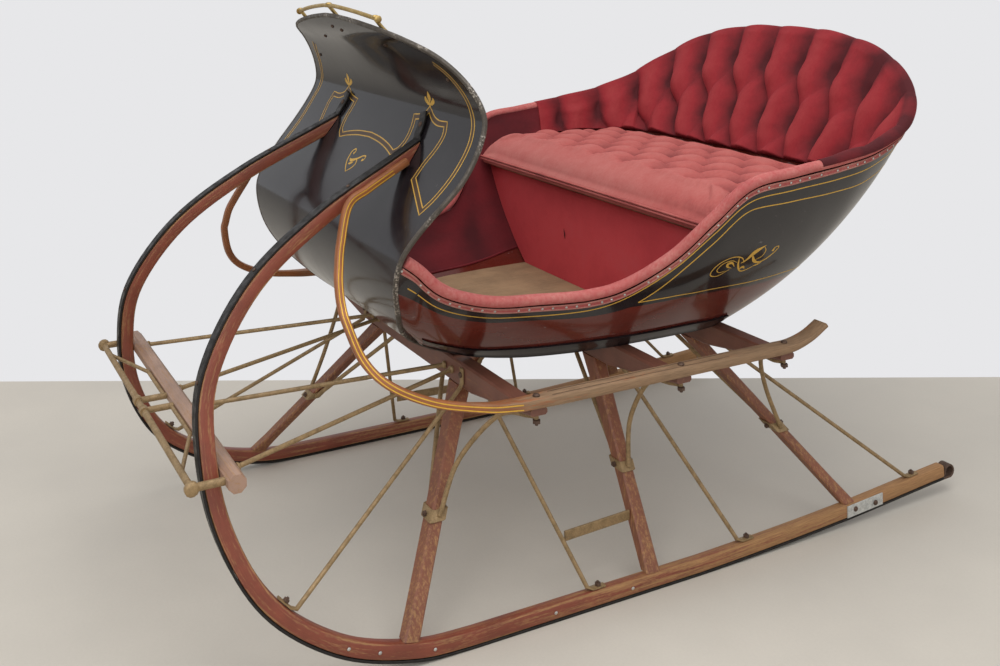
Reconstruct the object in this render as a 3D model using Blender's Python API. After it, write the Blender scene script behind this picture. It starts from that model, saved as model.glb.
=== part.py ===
"""A two-seat cutter: a horse drawn sleigh on two bent wooden runners.

Metres, +Z up, the sleigh faces -Y and its left side is +X. The model is laid out from
a datum at the feet of the front knees, and settled at the end so that the origin is
the middle of its footprint, on the floor.
"""
import math

import bmesh
import bpy
from mathutils import Vector

# Driving sizes of the running gear
TRACK = 0.942                  # between the middles of the two runners, on the floor
RUNNER_LENGTH = 1.722          # foremost to rearmost point of a runner's centre line
RUNNER_RISE = 0.855            # from the level stretch to the tip on the dash
RUNNER_LEAD = 0.339            # foremost point of a runner, ahead of the front knees
RUNNER_WIDTH = 0.025
RUNNER_DEPTH = 0.029
RUNNER_LEAN_SHARE = 0.273      # how far the runners lean in for each unit of height
SHOE_THICKNESS = 0.005
SHOE_EYE_RADIUS = 0.014
SHOE_STRAP_LENGTH = 0.075      # the shoe's front end, laid up the dash
CHAMFER = 0.004
GAP = 0.0003                   # between pieces that touch

# Benches and knees
BENCH_FRONT_Y = 0.235
BENCH_MIDDLE_Y = 0.570
BENCH_REAR_Y = 0.840
BENCH_TOP = 0.4465
BENCH_HEIGHT = 0.052
BENCH_END_HEIGHT = 0.014
BENCH_THICKNESS = 0.036
BENCH_HALF_LENGTH = 0.538
BENCH_STRAIGHT = 0.290         # half of the stretch that keeps the full height
KNEE_FRONT_Y = 0.0
KNEE_MIDDLE_Y = 0.535
KNEE_REAR_Y = 1.078
KNEE_TOP_X = 0.212
KNEE_WIDTH = 0.040
KNEE_THICKNESS = 0.030
CLAMP_HEIGHT = 0.205
CLAMP_BAND = 0.004
CLAMP_DEPTH = 0.022
BRACE_RADIUS = 0.0050
BRACE_REACH = 0.100            # where an inner brace meets its bench, from the middle

# Rods
STAY_RADIUS = 0.0045
STAY_PAD_LENGTH = 0.030
STAY_PAD_WIDTH = 0.016
STAY_PAD_THICKNESS = 0.005
STAY_TOP_X = 0.262
FRONT_FOOT_HEIGHT = 0.160      # the front stay meets the runner just under this
BAR_ROD_RADIUS = 0.0050
BAR_WIDTH = 0.032
BAR_HALF_LENGTH = 0.438
BAR_HEIGHT = 0.385
BAR_ROD_OUTER = 0.372          # where the rods leave the bar, from its middle
BAR_ROD_INNER = 0.055
SHIFT_ROD_RADIUS = 0.0065
SHIFT_ROD_AHEAD = 0.074        # rod ahead of the bar's middle
SHIFT_ROD_HALF = 0.418
SHIFT_MIDDLE_GAP = 0.030
SHIFT_EYE_RADIUS = 0.013
SHIFT_TRUSS_RADIUS = 0.0040

# Fenders
RAIL_INSET = 0.010             # from a bench's end to the middle of the rail on it
RAIL_X = BENCH_HALF_LENGTH - RAIL_INSET
RAIL_WIDTH = 0.040
RAIL_THICKNESS = 0.019
BOW_WIDTH = 0.016
RAIL_END_Y = 0.945
RAIL_END_RISE = 0.052
# Where the bow lies beside the runner, in steps of its path, and how far it has parted
# from it there, as a share of BOW_WIDTH
BOW_ROOT_SHARES = ((0, 0.0), (1, 0.05), (2, 0.25), (3, 0.85))

# Step bars and the mended runner
STEP_WIDTH = 0.020
STEP_THICKNESS = 0.006
MEND_LENGTH = 0.110
MEND_HEIGHT = 0.026
MEND_THICKNESS = 0.0025
MEND_Y = 1.120

# Body
BODY_HALF_WIDTH = 0.580
BODY_TOP_REAR = 1.050
BODY_BASE = 0.447
BODY_REAR_Y = 1.352
SILL_HEIGHT = 0.024
SILL_THICKNESS = 0.009
SILL_END_Y = 0.835
WALL = 0.012
LINING = 0.008
PAD = 0.042
FLOOR_THICKNESS = 0.014
FLOOR_FRONT_Y = 0.256
FLOOR_REAR_Y = 0.958
FLOOR_REAR_RISE = 0.038
RISER_Y = 0.700
RISER_THICKNESS = 0.012
CUSHION_FRONT_Y = 0.668
CUSHION_BOTTOM = 0.705
CUSHION_HEIGHT = 0.085
CUSHION_REAR_Y = 1.120
SEAT_BOARD_THICKNESS = 0.010
SEAT_REAR_Y = 1.110
SOFT_GAP = 0.0006              # between layers that follow the walls
BINDING_RADIUS = 0.011
BINDING_DROP = 0.0012

# Dash
DASH_HEIGHT = 1.158
DASH_BASE = BODY_BASE + 0.0015
DASH_WIDTH_SHARE = 0.8293       # of the body's own width
DASH_HALF_WIDTH = BODY_HALF_WIDTH * DASH_WIDTH_SHARE
DASH_THICKNESS = 0.008
DASH_DEPTH = 0.174             # between the foremost and the rearmost line of its curve
DASH_BELLY_Y = -0.006
DASH_CLEARANCE = 0.0010        # before its face, for what is bolted to it
RAIL_TUBE_RADIUS = 0.0045
RAIL_STAND = 0.024
RAIL_HALF_SPAN = 0.235
BACK_STAY_RADIUS = 0.0055
BACK_STAY_STATION = 13.2       # along the rows of the wall table

SIDES = (("left", 1.0), ("right", -1.0))

# Runner centre line: how far back as a share of its length, how high as a share of its rise
RUNNER_SHARES = (
    (0.2537, 1.0), (0.1488, 0.8936), (0.0634, 0.7696), (0.0098, 0.6117), (0.0, 0.4643),
    (0.0127, 0.3088), (0.0513, 0.1637), (0.1188, 0.0608), (0.1955, 0.0117), (0.2705, 0.0),
    (0.4257, 0.0), (0.5761, 0.0), (0.7895, 0.0135), (1.0, 0.0398))

# Dash: height as a share from its base to its top, set back from the belly as a share of its
# depth, half width as a share of its own half width
DASH_SHARES = (
    (0.0, 1.47, 0.43), (0.013, 1.18, 0.43), (0.0422, 0.9, 0.438), (0.0747, 0.68, 0.47),
    (0.1477, 0.322, 0.655), (0.2208, 0.126, 0.809), (0.276, 0.04, 0.848),
    (0.3312, 0.0, 0.877), (0.3799, 0.012, 0.911), (0.4205, 0.057, 0.925),
    (0.4968, 0.293, 0.96), (0.5601, 0.54, 0.988), (0.6104, 0.73, 1.0),
    (0.7143, 0.983, 0.965), (0.7565, 1.0, 0.95), (0.8344, 0.897, 0.898),
    (0.9058, 0.655, 0.792), (0.9286, 0.517, 0.721), (0.9529, 0.379, 0.644),
    (0.9692, 0.31, 0.507), (0.9838, 0.264, 0.351), (0.9935, 0.235, 0.208),
    (1.0, 0.218, 0.062))

# Tub walls from the dash round to the middle of the back. Top edge: out, back, up.
# Bottom edge: out, back, up. Out is a share of BODY_HALF_WIDTH, back a share of
# BODY_REAR_Y, up a share of BODY_TOP_REAR; the last column is the swell.
WALL_SHARES = (
    (0.738, 0.012, 0.681, 0.400, 0.086, 0.4770, 0.044),
    (0.717, 0.067, 0.614, 0.390, 0.125, 0.4535, 0.034),
    (0.698, 0.148, 0.574, 0.405, 0.185, 0.4290, 0.026),
    (0.693, 0.237, 0.560, 0.480, 0.248, 0.4257, 0.022),
    (0.703, 0.325, 0.554, 0.530, 0.325, 0.4257, 0.022),
    (0.733, 0.388, 0.571, 0.550, 0.392, 0.4257, 0.026),
    (0.828, 0.444, 0.629, 0.556, 0.444, 0.4257, 0.034),
    (0.922, 0.488, 0.705, 0.559, 0.488, 0.4257, 0.044),
    (0.986, 0.534, 0.768, 0.559, 0.533, 0.4257, 0.052),
    (1.0, 0.614, 0.783, 0.555, 0.584, 0.4257, 0.060),
    (1.0, 0.710, 0.796, 0.540, 0.632, 0.4300, 0.064),
    (0.983, 0.795, 0.812, 0.505, 0.676, 0.4400, 0.066),
    (0.922, 0.884, 0.848, 0.440, 0.702, 0.4500, 0.066),
    (0.793, 0.950, 0.910, 0.350, 0.714, 0.4570, 0.064),
    (0.569, 0.987, 0.973, 0.240, 0.720, 0.4610, 0.060),
    (0.276, 1.0, 1.005, 0.120, 0.723, 0.4630, 0.058),
    (0.0, 1.003, 1.010, 0.0, 0.724, 0.4640, 0.058))
WALL_STATIONS = len(WALL_SHARES) - 1
WALL_COLUMNS = 2               # facets between two rows of the table
ROW_SHARES = (0.0, 0.12, 0.28, 0.46, 0.64, 0.82, 1.0)
SEAM_SHARE = 0.004             # of a station, left open between panels
PAD_SHARES = (0.8, 1.0, 1.0, 0.92, 0.5)
CUSHION_SHARES = ((-1.0, 0.6), (-0.93, 1.0), (-0.5, 1.0), (0.0, 1.0), (0.5, 1.0), (0.93, 1.0), (1.0, 0.6))
SEAT_ROW_SHARES = (0.0, 0.06, 0.2, 0.35, 0.5, 0.62, 0.74, 0.84, 0.92, 0.97, 1.0)
FLOOR_ROW_SHARES = (0.0, 0.05, 0.12, 0.2, 0.3, 0.45, 0.6, 0.7, 0.78, 0.85, 0.9, 0.95, 0.98, 1.0)
DASH_COLUMNS = 12
STRAP_SHARES = (1.0, 0.5, 0.0)
RISER_ROWS = 7
CORNER_STATION = 12.5          # where side meets back, counted along the rows above
WING_STATION = 9.5             # where the tufted back begins


def clear_scene():
    for obj in list(bpy.data.objects):
        bpy.data.objects.remove(obj, do_unlink=True)


def material(name, colour, roughness, metallic=0.0):
    mat = bpy.data.materials.new(name)
    mat.use_nodes = True
    shader = mat.node_tree.nodes["Principled BSDF"]
    shader.inputs["Base Color"].default_value = (*colour, 1.0)
    shader.inputs["Roughness"].default_value = roughness
    shader.inputs["Metallic"].default_value = metallic
    return mat


def spline(points, steps):
    """A smooth curve through the given tuples, with so many steps between neighbours."""
    first = [2 * a - b for a, b in zip(points[0], points[1])]
    last = [2 * a - b for a, b in zip(points[-1], points[-2])]
    padded = [first, *points, last]
    out = []
    for i in range(1, len(padded) - 2):
        p0, p1, p2, p3 = padded[i - 1:i + 3]
        for k in range(steps):
            t = k / steps
            out.append(tuple(
                0.5 * (2 * b + (c - a) * t + (2 * a - 5 * b + 4 * c - d) * t ** 2
                       + (3 * b - a - 3 * c + d) * t ** 3)
                for a, b, c, d in zip(p0, p1, p2, p3)))
    out.append(tuple(points[-1]))
    return out


def along(table, position):
    """A row of a table read at a fractional position, smooth from row to row."""
    last = len(table) - 1
    position = min(max(position, 0.0), float(last))
    i = min(int(position), last - 1)
    t = position - i
    rows = [table[max(i - 1, 0)], table[i], table[i + 1], table[min(i + 2, last)]]
    return tuple(
        0.5 * (2 * b + (c - a) * t + (2 * a - 5 * b + 4 * c - d) * t ** 2
               + (3 * b - a - 3 * c + d) * t ** 3)
        for a, b, c, d in zip(*rows))


def finish(name, bm, mat, crease=35.0):
    bmesh.ops.recalc_face_normals(bm, faces=bm.faces)
    mesh = bpy.data.meshes.new(name)
    bm.to_mesh(mesh)
    bm.free()
    mesh.shade_smooth()
    mesh.set_sharp_from_angle(angle=math.radians(crease))
    mesh.materials.append(mat)
    obj = bpy.data.objects.new(name, mesh)
    bpy.context.scene.collection.objects.link(obj)
    return obj


def loft(name, rings, mat, closed=False):
    """A solid through rings of equal length, capped at both ends unless it is closed."""
    bm = bmesh.new()
    loops = [[bm.verts.new(p) for p in ring] for ring in rings]
    pairs = list(zip(loops, loops[1:]))
    if closed:
        pairs.append((loops[-1], loops[0]))
    for a, b in pairs:
        for i in range(len(a)):
            j = (i + 1) % len(a)
            bm.faces.new((a[i], a[j], b[j], b[i]))
    if not closed:
        bm.faces.new(loops[0])
        bm.faces.new(loops[-1])
    return finish(name, bm, mat)


def shell(name, outer, inner, mat):
    """A solid between two grids of points with the same rows and columns."""
    bm = bmesh.new()
    grids = [[[bm.verts.new(p) for p in row] for row in grid] for grid in (outer, inner)]
    rows, cols = len(outer), len(outer[0])
    for grid in grids:
        for i in range(rows - 1):
            for j in range(cols - 1):
                bm.faces.new((grid[i][j], grid[i + 1][j], grid[i + 1][j + 1], grid[i][j + 1]))
    rim = [(i, 0) for i in range(rows)] + [(rows - 1, j) for j in range(1, cols)]
    rim += [(i, cols - 1) for i in range(rows - 2, -1, -1)] + [(0, j) for j in range(cols - 2, 0, -1)]
    for (i, j), (k, m) in zip(rim, rim[1:] + rim[:1]):
        bm.faces.new((grids[0][i][j], grids[0][k][m], grids[1][k][m], grids[1][i][j]))
    return finish(name, bm, mat)


def section(width, depth, chamfer):
    """A rectangle with its corners cut off, across u and v."""
    u, v = width / 2, depth / 2
    return ((u, v - chamfer), (u - chamfer, v), (chamfer - u, v), (-u, v - chamfer),
            (-u, chamfer - v), (chamfer - u, -v), (u - chamfer, -v), (u, chamfer - v))


def circle(radius, sides=8):
    turn = 2 * math.pi / sides
    return tuple((radius * math.cos((k + 0.5) * turn), radius * math.sin((k + 0.5) * turn))
                 for k in range(sides))


def frames(path, across):
    """Tangent, across and normal at each point of a path."""
    out = []
    for i, point in enumerate(path):
        ahead = Vector(path[min(i + 1, len(path) - 1)])
        behind = Vector(path[max(i - 1, 0)])
        tangent = (ahead - behind).normalized()
        side = (across - tangent * across.dot(tangent)).normalized()
        out.append((Vector(point), tangent, side, tangent.cross(side)))
    return out


def sweep(name, path, sections, mat, across=Vector((1.0, 0.0, 0.0))):
    """A solid whose section, one for all or one for each point, follows a path."""
    if not isinstance(sections, list):
        sections = [sections] * len(path)
    rings = []
    for (point, _, side, up), shape in zip(frames(path, across), sections):
        rings.append([point + side * u + up * v for u, v in shape])
    return loft(name, rings, mat)


def join(base, others):
    """The union of solids that pass into each other, as one piece."""
    for other in others:
        other.hide_render = True
        other.display_type = "WIRE"
        cut = base.modifiers.new("union with " + other.name, "BOOLEAN")
        cut.operation = "UNION"
        cut.object = other
    return base


def mirrored(points, side):
    return [(p[0] * side, p[1], p[2]) for p in points]


# Running gear

def runner_x(height):
    return TRACK / 2 - RUNNER_LEAN_SHARE * (height - runner_base())


def runner_base():
    return SHOE_THICKNESS + GAP + RUNNER_DEPTH / 2


def runner_path(steps=4):
    points = []
    for back, up in spline(RUNNER_SHARES, steps):
        height = runner_base() + max(up, 0.0) * RUNNER_RISE
        points.append((runner_x(height), back * RUNNER_LENGTH - RUNNER_LEAD, height))
    return points


def runner_at(y):
    """Centre of the runner where it passes a station behind its front curve."""
    path = [p for p in runner_path() if p[2] < RUNNER_RISE / 3]
    for a, b in zip(path, path[1:]):
        if a[1] <= y <= b[1]:
            t = (y - a[1]) / (b[1] - a[1])
            return Vector(a).lerp(Vector(b), t)
    return Vector(path[-1])


def runner_top(y):
    return runner_at(y).z + RUNNER_DEPTH / 2 + GAP


def offset_path(path, distance):
    """The path moved square to itself, away from the sleigh."""
    return [tuple(p + n * distance) for p, _, _, n in frames(path, Vector((1.0, 0.0, 0.0)))]


def scarf(ring, tangent):
    """Slides the points of a ring along the runner until they lie on the dash."""
    out = []
    for point in ring:
        low, high = -RUNNER_DEPTH * 2, RUNNER_DEPTH * 2
        for _ in range(30):
            middle = (low + high) / 2
            p = point + tangent * middle
            if p.y > dash_at(p.z)[0] - DASH_CLEARANCE:
                low = middle
            else:
                high = middle
        out.append(point + tangent * (low + high) / 2)
    return out


def make_runner(label, side, mat):
    shape = section(RUNNER_WIDTH, RUNNER_DEPTH, CHAMFER)
    rings = []
    for i, (point, tangent, across, up) in enumerate(frames(runner_path(), Vector((1.0, 0.0, 0.0)))):
        ring = [point + across * u + up * v for u, v in shape]
        if i == 0:
            ring = scarf(ring, tangent)
        rings.append([(p.x * side, p.y, p.z) for p in ring])
    return loft("runner_" + label, rings, mat)


def make_shoe(label, side, mat):
    """Steel strip under the runner and up its front, ending in a curled eye behind."""
    away = RUNNER_DEPTH / 2 + SHOE_THICKNESS / 2 + GAP
    path = offset_path(runner_path(), away)
    x, y, z = path[-1]
    heel = Vector(path[-1]) - Vector(path[-2])
    pitch = math.atan2(heel.z, heel.y)
    eye = []
    turn = math.radians(285)
    steps = 9
    for k in range(1, steps + 1):
        angle = turn * k / steps
        forward = SHOE_EYE_RADIUS * math.sin(angle)
        up = SHOE_EYE_RADIUS * (1 - math.cos(angle))
        eye.append((x, y + SHOE_EYE_RADIUS + SHOE_THICKNESS + forward * math.cos(pitch) - up * math.sin(pitch),
                    z + up * math.cos(pitch) + forward * math.sin(pitch)))
    heading = (Vector(path[1]) - Vector(path[0])).normalized()
    corner = scarf([Vector(path[0])], heading)[0] + heading * SHOE_THICKNESS
    strap = []
    low = corner.z + SHOE_THICKNESS
    for share in STRAP_SHARES:
        height = low + (path[0][2] + SHOE_STRAP_LENGTH - low) * share
        y_face = dash_at(height)[0] - DASH_CLEARANCE - SHOE_THICKNESS
        strap.append((runner_x(height), y_face, height))
    flat = section(RUNNER_WIDTH, SHOE_THICKNESS, SHOE_THICKNESS / 5)
    route = mirrored(strap + [tuple(corner)] + path[1:] + eye, side)
    return sweep("shoe_" + label, route, flat, mat)


def knee_axis(foot_y, bench_y, height):
    """Centre of a knee at a height, between runner and bench."""
    low = runner_top(foot_y) + GAP
    high = BENCH_TOP - BENCH_HEIGHT - GAP
    t = (height - low) / (high - low)
    foot = Vector((runner_x(low), foot_y, low))
    return foot.lerp(Vector((KNEE_TOP_X, bench_y, high)), t)


KNEE_SHARES = ((0.0, 0.65, 1.10), (0.12, 0.80, 1.0), (0.45, 0.92, 0.92), (0.8, 1.0, 1.0), (1.0, 1.20, 1.10))


def knee_section(share):
    """Width and thickness of a knee at a share of its height."""
    for a, b in zip(KNEE_SHARES, KNEE_SHARES[1:]):
        if a[0] <= share <= b[0]:
            t = (share - a[0]) / (b[0] - a[0])
            wide = a[1] + (b[1] - a[1]) * t
            thick = a[2] + (b[2] - a[2]) * t
            return wide * KNEE_WIDTH, thick * KNEE_THICKNESS
    return KNEE_WIDTH, KNEE_THICKNESS


def knee_levels(foot_y):
    low = runner_top(foot_y) + GAP
    high = BENCH_TOP - BENCH_HEIGHT - GAP
    return low, high


def make_knee(name, side, foot_y, bench_y, mat):
    low, high = knee_levels(foot_y)
    rings = []
    for share, _, _ in KNEE_SHARES:
        height = low + (high - low) * share
        centre = knee_axis(foot_y, bench_y, height)
        wide, thick = knee_section(share)
        ring = [(side * (centre.x + u), centre.y + v, height)
                for u, v in section(wide, thick, CHAMFER)]
        if share == 0.0:
            ring = [(px, py, runner_top(py) + GAP) for px, py, _ in ring]
        rings.append(ring)
    return loft(name, rings, mat)


def make_knee_iron(name, side, foot_y, bench_y, mat):
    """Clamp round the knee with its curved outer brace and straight inner brace."""
    low, high = knee_levels(foot_y)
    half = CLAMP_DEPTH / 2
    loops = []
    for height, grow in ((CLAMP_HEIGHT - half, GAP), (CLAMP_HEIGHT - half, CLAMP_BAND),
                         (CLAMP_HEIGHT + half, CLAMP_BAND), (CLAMP_HEIGHT + half, GAP)):
        centre = knee_axis(foot_y, bench_y, height)
        wide, thick = knee_section((height - low) / (high - low))
        loops.append([(side * (centre.x + u), centre.y + v, height)
                      for u, v in section(wide + 2 * grow, thick + 2 * grow, CHAMFER)])
    clamp = loft(name, loops, mat, closed=True)
    centre = knee_axis(foot_y, bench_y, CLAMP_HEIGHT)
    wide, _ = knee_section((CLAMP_HEIGHT - low) / (high - low))
    away = wide / 2 + CLAMP_BAND + BRACE_RADIUS / 2
    under = BENCH_TOP - GAP - BRACE_RADIUS
    end_x = RAIL_X
    end_z = under - BENCH_END_HEIGHT - (BENCH_HALF_LENGTH - end_x) * bench_taper()
    start = Vector((centre.x + away, centre.y, CLAMP_HEIGHT))
    end = Vector((end_x, bench_y, end_z))
    rise = end.z - start.z
    mid_low = start + Vector((0.0, (bench_y - start.y) / 3, rise * 0.45))
    mid_high = Vector((start.x + (end.x - start.x) * 0.35, start.y + (bench_y - start.y) * 0.8,
                       start.z + rise * 0.88))
    near_end = Vector((end.x - STAY_PAD_LENGTH, bench_y, end.z - STAY_PAD_LENGTH * bench_taper()))
    near_end.z -= BRACE_RADIUS / 4
    route = spline([tuple(v) for v in (start, mid_low, mid_high, near_end, end)], 3)
    outer = sweep(name + "_outer", mirrored(route, side), circle(BRACE_RADIUS), mat,
                  Vector((0.0, 1.0, 0.0)))
    start = Vector((centre.x - away, centre.y, CLAMP_HEIGHT))
    top = BENCH_TOP - BENCH_HEIGHT - GAP - BRACE_RADIUS
    bend = Vector((BRACE_REACH + STAY_PAD_LENGTH, bench_y, top))
    end = Vector((BRACE_REACH, bench_y, top))
    inner = sweep(name + "_inner", mirrored([start, bend, end], side), circle(BRACE_RADIUS), mat,
                  Vector((0.0, 1.0, 0.0)))
    return join(clamp, (outer, inner))


def bench_taper():
    return (BENCH_HEIGHT - BENCH_END_HEIGHT) / (BENCH_HALF_LENGTH - BENCH_STRAIGHT)


def make_bench(name, y, mat):
    """Cross beam, level on top, its underside rising to the ends that carry the fenders."""
    stations = ((-BENCH_HALF_LENGTH, BENCH_END_HEIGHT), (-BENCH_STRAIGHT, BENCH_HEIGHT),
                (BENCH_STRAIGHT, BENCH_HEIGHT), (BENCH_HALF_LENGTH, BENCH_END_HEIGHT))
    rings = []
    for x, height in stations:
        middle = BENCH_TOP - height / 2
        rings.append([(x, y + u, middle + v) for u, v in section(BENCH_THICKNESS, height, CHAMFER)])
    return loft(name, rings, mat)


def pad_section():
    return section(STAY_PAD_WIDTH, STAY_PAD_THICKNESS, STAY_PAD_THICKNESS / 5)


def make_stay(name, side, top, away, foot, mat):
    """Round rod from a pad on a bench's face to a flattened foot lying on the runner."""
    foot_point, foot_dir, foot_up = foot
    heel = foot_point - foot_dir * STAY_PAD_LENGTH
    ankle = heel - foot_dir * STAY_RADIUS * 2 + foot_up * STAY_RADIUS
    low = top - Vector((0.0, 0.0, STAY_PAD_LENGTH))
    neck = low + Vector((0.0, away * STAY_RADIUS, -STAY_RADIUS * 2))
    route = [top, low, neck, neck.lerp(ankle, 0.5), ankle, heel, foot_point]
    rod, pad = circle(STAY_RADIUS), pad_section()
    return sweep(name, mirrored(route, side), [pad, pad, rod, rod, rod, pad, pad], mat)


def lying_on(low, high):
    """A pad's end, direction and upward sense on the inner face between two path points."""
    direction = (high - low).normalized()
    up = Vector((0.0, -direction.z, direction.y))
    if up.z < 0:
        up = -up
    lift = RUNNER_DEPTH / 2 + STAY_PAD_THICKNESS / 2 + GAP * 2
    return high - direction * CHAMFER + up * lift, direction, up


def runner_foot(y):
    return lying_on(runner_at(y - STAY_PAD_LENGTH), runner_at(y))


def front_foot():
    """The same on the front curve, with its free end upward."""
    path = [Vector(p) for p in runner_path()]
    index = min(i for i, p in enumerate(path) if i > 0 and p.z < FRONT_FOOT_HEIGHT)
    return lying_on(path[index + 1], path[index])


STAY_FOOT_SHARES = (0.443, 0.663, 0.955)   # along the runner's length


def make_stays(mat):
    benches = (BENCH_FRONT_Y, BENCH_MIDDLE_Y, BENCH_REAR_Y)
    clear = BENCH_THICKNESS / 2 + STAY_PAD_THICKNESS / 2 + GAP
    high = BENCH_TOP - CHAMFER * 2
    for label, side in SIDES:
        top = Vector((STAY_TOP_X, BENCH_FRONT_Y - clear, high))
        make_stay("stay_1_" + label, side, top, -1.0, front_foot(), mat)
        for index, (bench_y, share) in enumerate(zip(benches, STAY_FOOT_SHARES)):
            top = Vector((STAY_TOP_X, bench_y + clear, high))
            foot = runner_foot(share * RUNNER_LENGTH - RUNNER_LEAD)
            make_stay("stay_%d_%s" % (index + 2, label), side, top, 1.0, foot, mat)


def runner_back(height):
    """How far back the middle of a runner's front curve is at a height."""
    path = runner_path()
    for a, b in zip(path, path[1:]):
        if a[2] >= height >= b[2]:
            return a[1] + (b[1] - a[1]) * (a[2] - height) / (a[2] - b[2])
    return path[0][1]


def bar_y():
    """The cross bar lies against the back of both runners."""
    reach = BAR_WIDTH / 2 * math.tan(math.pi / 8)
    behind = max(runner_back(BAR_HEIGHT + reach), runner_back(BAR_HEIGHT - reach))
    return behind + RUNNER_DEPTH / 2 + BAR_WIDTH / 2 + GAP


def make_cross_bar(mat):
    turn = math.pi / 4
    radius = BAR_WIDTH / 2 / math.cos(turn / 2)
    y = bar_y()
    rings = []
    for x in (-BAR_HALF_LENGTH, BAR_HALF_LENGTH):
        rings.append([(x, y + radius * math.cos((k + 0.5) * turn),
                       BAR_HEIGHT + radius * math.sin((k + 0.5) * turn)) for k in range(8)])
    return loft("cross_bar", rings, mat)


def make_shift_iron(mat):
    """Round draught rod ahead of the bar, with eyes, end arms, middle arms and trusses."""
    y = bar_y()
    ahead = y - SHIFT_ROD_AHEAD
    face = y - BAR_WIDTH / 2 - GAP
    across = Vector((0.0, 0.0, 1.0))
    rod = sweep("shift_iron", [(-SHIFT_ROD_HALF, ahead, BAR_HEIGHT), (SHIFT_ROD_HALF, ahead, BAR_HEIGHT)],
                circle(SHIFT_ROD_RADIUS), mat, across)
    parts = []
    for label, side in SIDES:
        x = side * (SHIFT_ROD_HALF - SHIFT_ROD_RADIUS / 2)
        arm = [(x, face, BAR_HEIGHT), (x, ahead, BAR_HEIGHT)]
        parts.append(sweep("shift_end_arm_" + label, arm, circle(SHIFT_ROD_RADIUS * 1.15), mat, across))
        eye = [(side * (SHIFT_ROD_HALF - SHIFT_EYE_RADIUS / 3), ahead, BAR_HEIGHT),
               (side * (SHIFT_ROD_HALF + SHIFT_EYE_RADIUS / 3), ahead, BAR_HEIGHT)]
        parts.append(sweep("shift_eye_" + label, eye, circle(SHIFT_EYE_RADIUS, 10), mat, across))
        x = side * SHIFT_MIDDLE_GAP
        arm = [(x, face, BAR_HEIGHT), (x, ahead, BAR_HEIGHT)]
        parts.append(sweep("shift_middle_arm_" + label, arm, circle(SHIFT_ROD_RADIUS), mat, across))
        near_end = side * (runner_x(BAR_HEIGHT) - RUNNER_WIDTH)
        truss = [(near_end, ahead, BAR_HEIGHT),
                 (side * SHIFT_ROD_HALF * 0.45, face - SHIFT_TRUSS_RADIUS, BAR_HEIGHT),
                 (side * SHIFT_MIDDLE_GAP * 1.5, face - SHIFT_TRUSS_RADIUS, BAR_HEIGHT),
                 (side * SHIFT_MIDDLE_GAP * 0.8, face - SHIFT_TRUSS_RADIUS, BAR_HEIGHT)]
        parts.append(sweep("shift_truss_" + label, truss, circle(SHIFT_TRUSS_RADIUS), mat, across))
    return join(rod, parts)


def make_bar_rods(mat):
    """Rods from the back of the bar to the front bench, flattened at both ends."""
    back = bar_y() + BAR_WIDTH / 2 + GAP
    face = BENCH_FRONT_Y - BENCH_THICKNESS / 2 - GAP
    height = BENCH_TOP - BENCH_HEIGHT / 2
    span = face - back
    marks = (0.0, STAY_PAD_THICKNESS, STAY_PAD_THICKNESS * 2, span - STAY_PAD_THICKNESS * 2,
             span - STAY_PAD_THICKNESS, span)
    radii = (STAY_PAD_WIDTH / 2, STAY_PAD_WIDTH / 2, BAR_ROD_RADIUS, BAR_ROD_RADIUS,
             STAY_PAD_WIDTH / 2, STAY_PAD_WIDTH / 2)
    for label, side in SIDES:
        for place, bar_x, bench_x in (("outer", BAR_ROD_OUTER, KNEE_TOP_X),
                                      ("inner", BAR_ROD_INNER, KNEE_TOP_X - STAY_PAD_WIDTH * 2)):
            rings = []
            for mark, radius in zip(marks, radii):
                t = mark / span
                x = bar_x + (bench_x - bar_x) * t
                z = BAR_HEIGHT + (height - BAR_HEIGHT) * t
                rings.append([(side * (x + u), back + mark, z + v) for u, v in circle(radius)])
            loft("bar_rod_%s_%s" % (place, label), rings, mat)


FENDER_SHARES = (
    # out as a share of RAIL_X, back as a share of RAIL_END_Y, up as a share of BENCH_TOP
    (0.615, -0.074, 1.672), (0.667, -0.090, 1.583), (0.703, -0.098, 1.523), (0.739, -0.101, 1.451),
    (0.776, -0.099, 1.391), (0.835, -0.078, 1.250), (0.890, -0.035, 1.150), (0.945, 0.045, 1.072),
    (0.985, 0.140, 1.032))


def make_fender(label, side, mat):
    """A slim bow that springs from the runner's outer face and widens into the rail."""
    top = BENCH_TOP + GAP + RAIL_THICKNESS / 2
    beside = RUNNER_WIDTH / 2 + BOW_WIDTH / 2 + GAP
    runner = runner_path()
    root = []
    for step, parted in BOW_ROOT_SHARES:
        x, y, z = runner[step]
        root.append((x + beside + parted * BOW_WIDTH, y, z))
    low = [(out * RAIL_X, back * RAIL_END_Y, up * BENCH_TOP) for out, back, up in FENDER_SHARES]
    front = BENCH_FRONT_Y - BENCH_THICKNESS
    rear = BENCH_REAR_Y + BENCH_THICKNESS
    curve = spline(root + low + [(RAIL_X, front, top)], 3)
    tail = spline([(RAIL_X, rear, top), (RAIL_X, RAIL_END_Y, top + RAIL_END_RISE * 0.66)], 3)
    route = curve + tail
    shapes = []
    for x, y, z in route:
        t = min(max((y - RAIL_END_Y * 0.1) / (BENCH_FRONT_Y - RAIL_END_Y * 0.1), 0.0), 1.0)
        if z > BENCH_TOP * 1.25:
            t = 0.0
        wide = BOW_WIDTH + (RAIL_WIDTH - BOW_WIDTH) * t
        deep = BOW_WIDTH + (RAIL_THICKNESS - BOW_WIDTH) * t
        shapes.append(section(wide, deep, CHAMFER))
    return sweep("fender_" + label, mirrored(route, side), shapes, mat)


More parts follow.
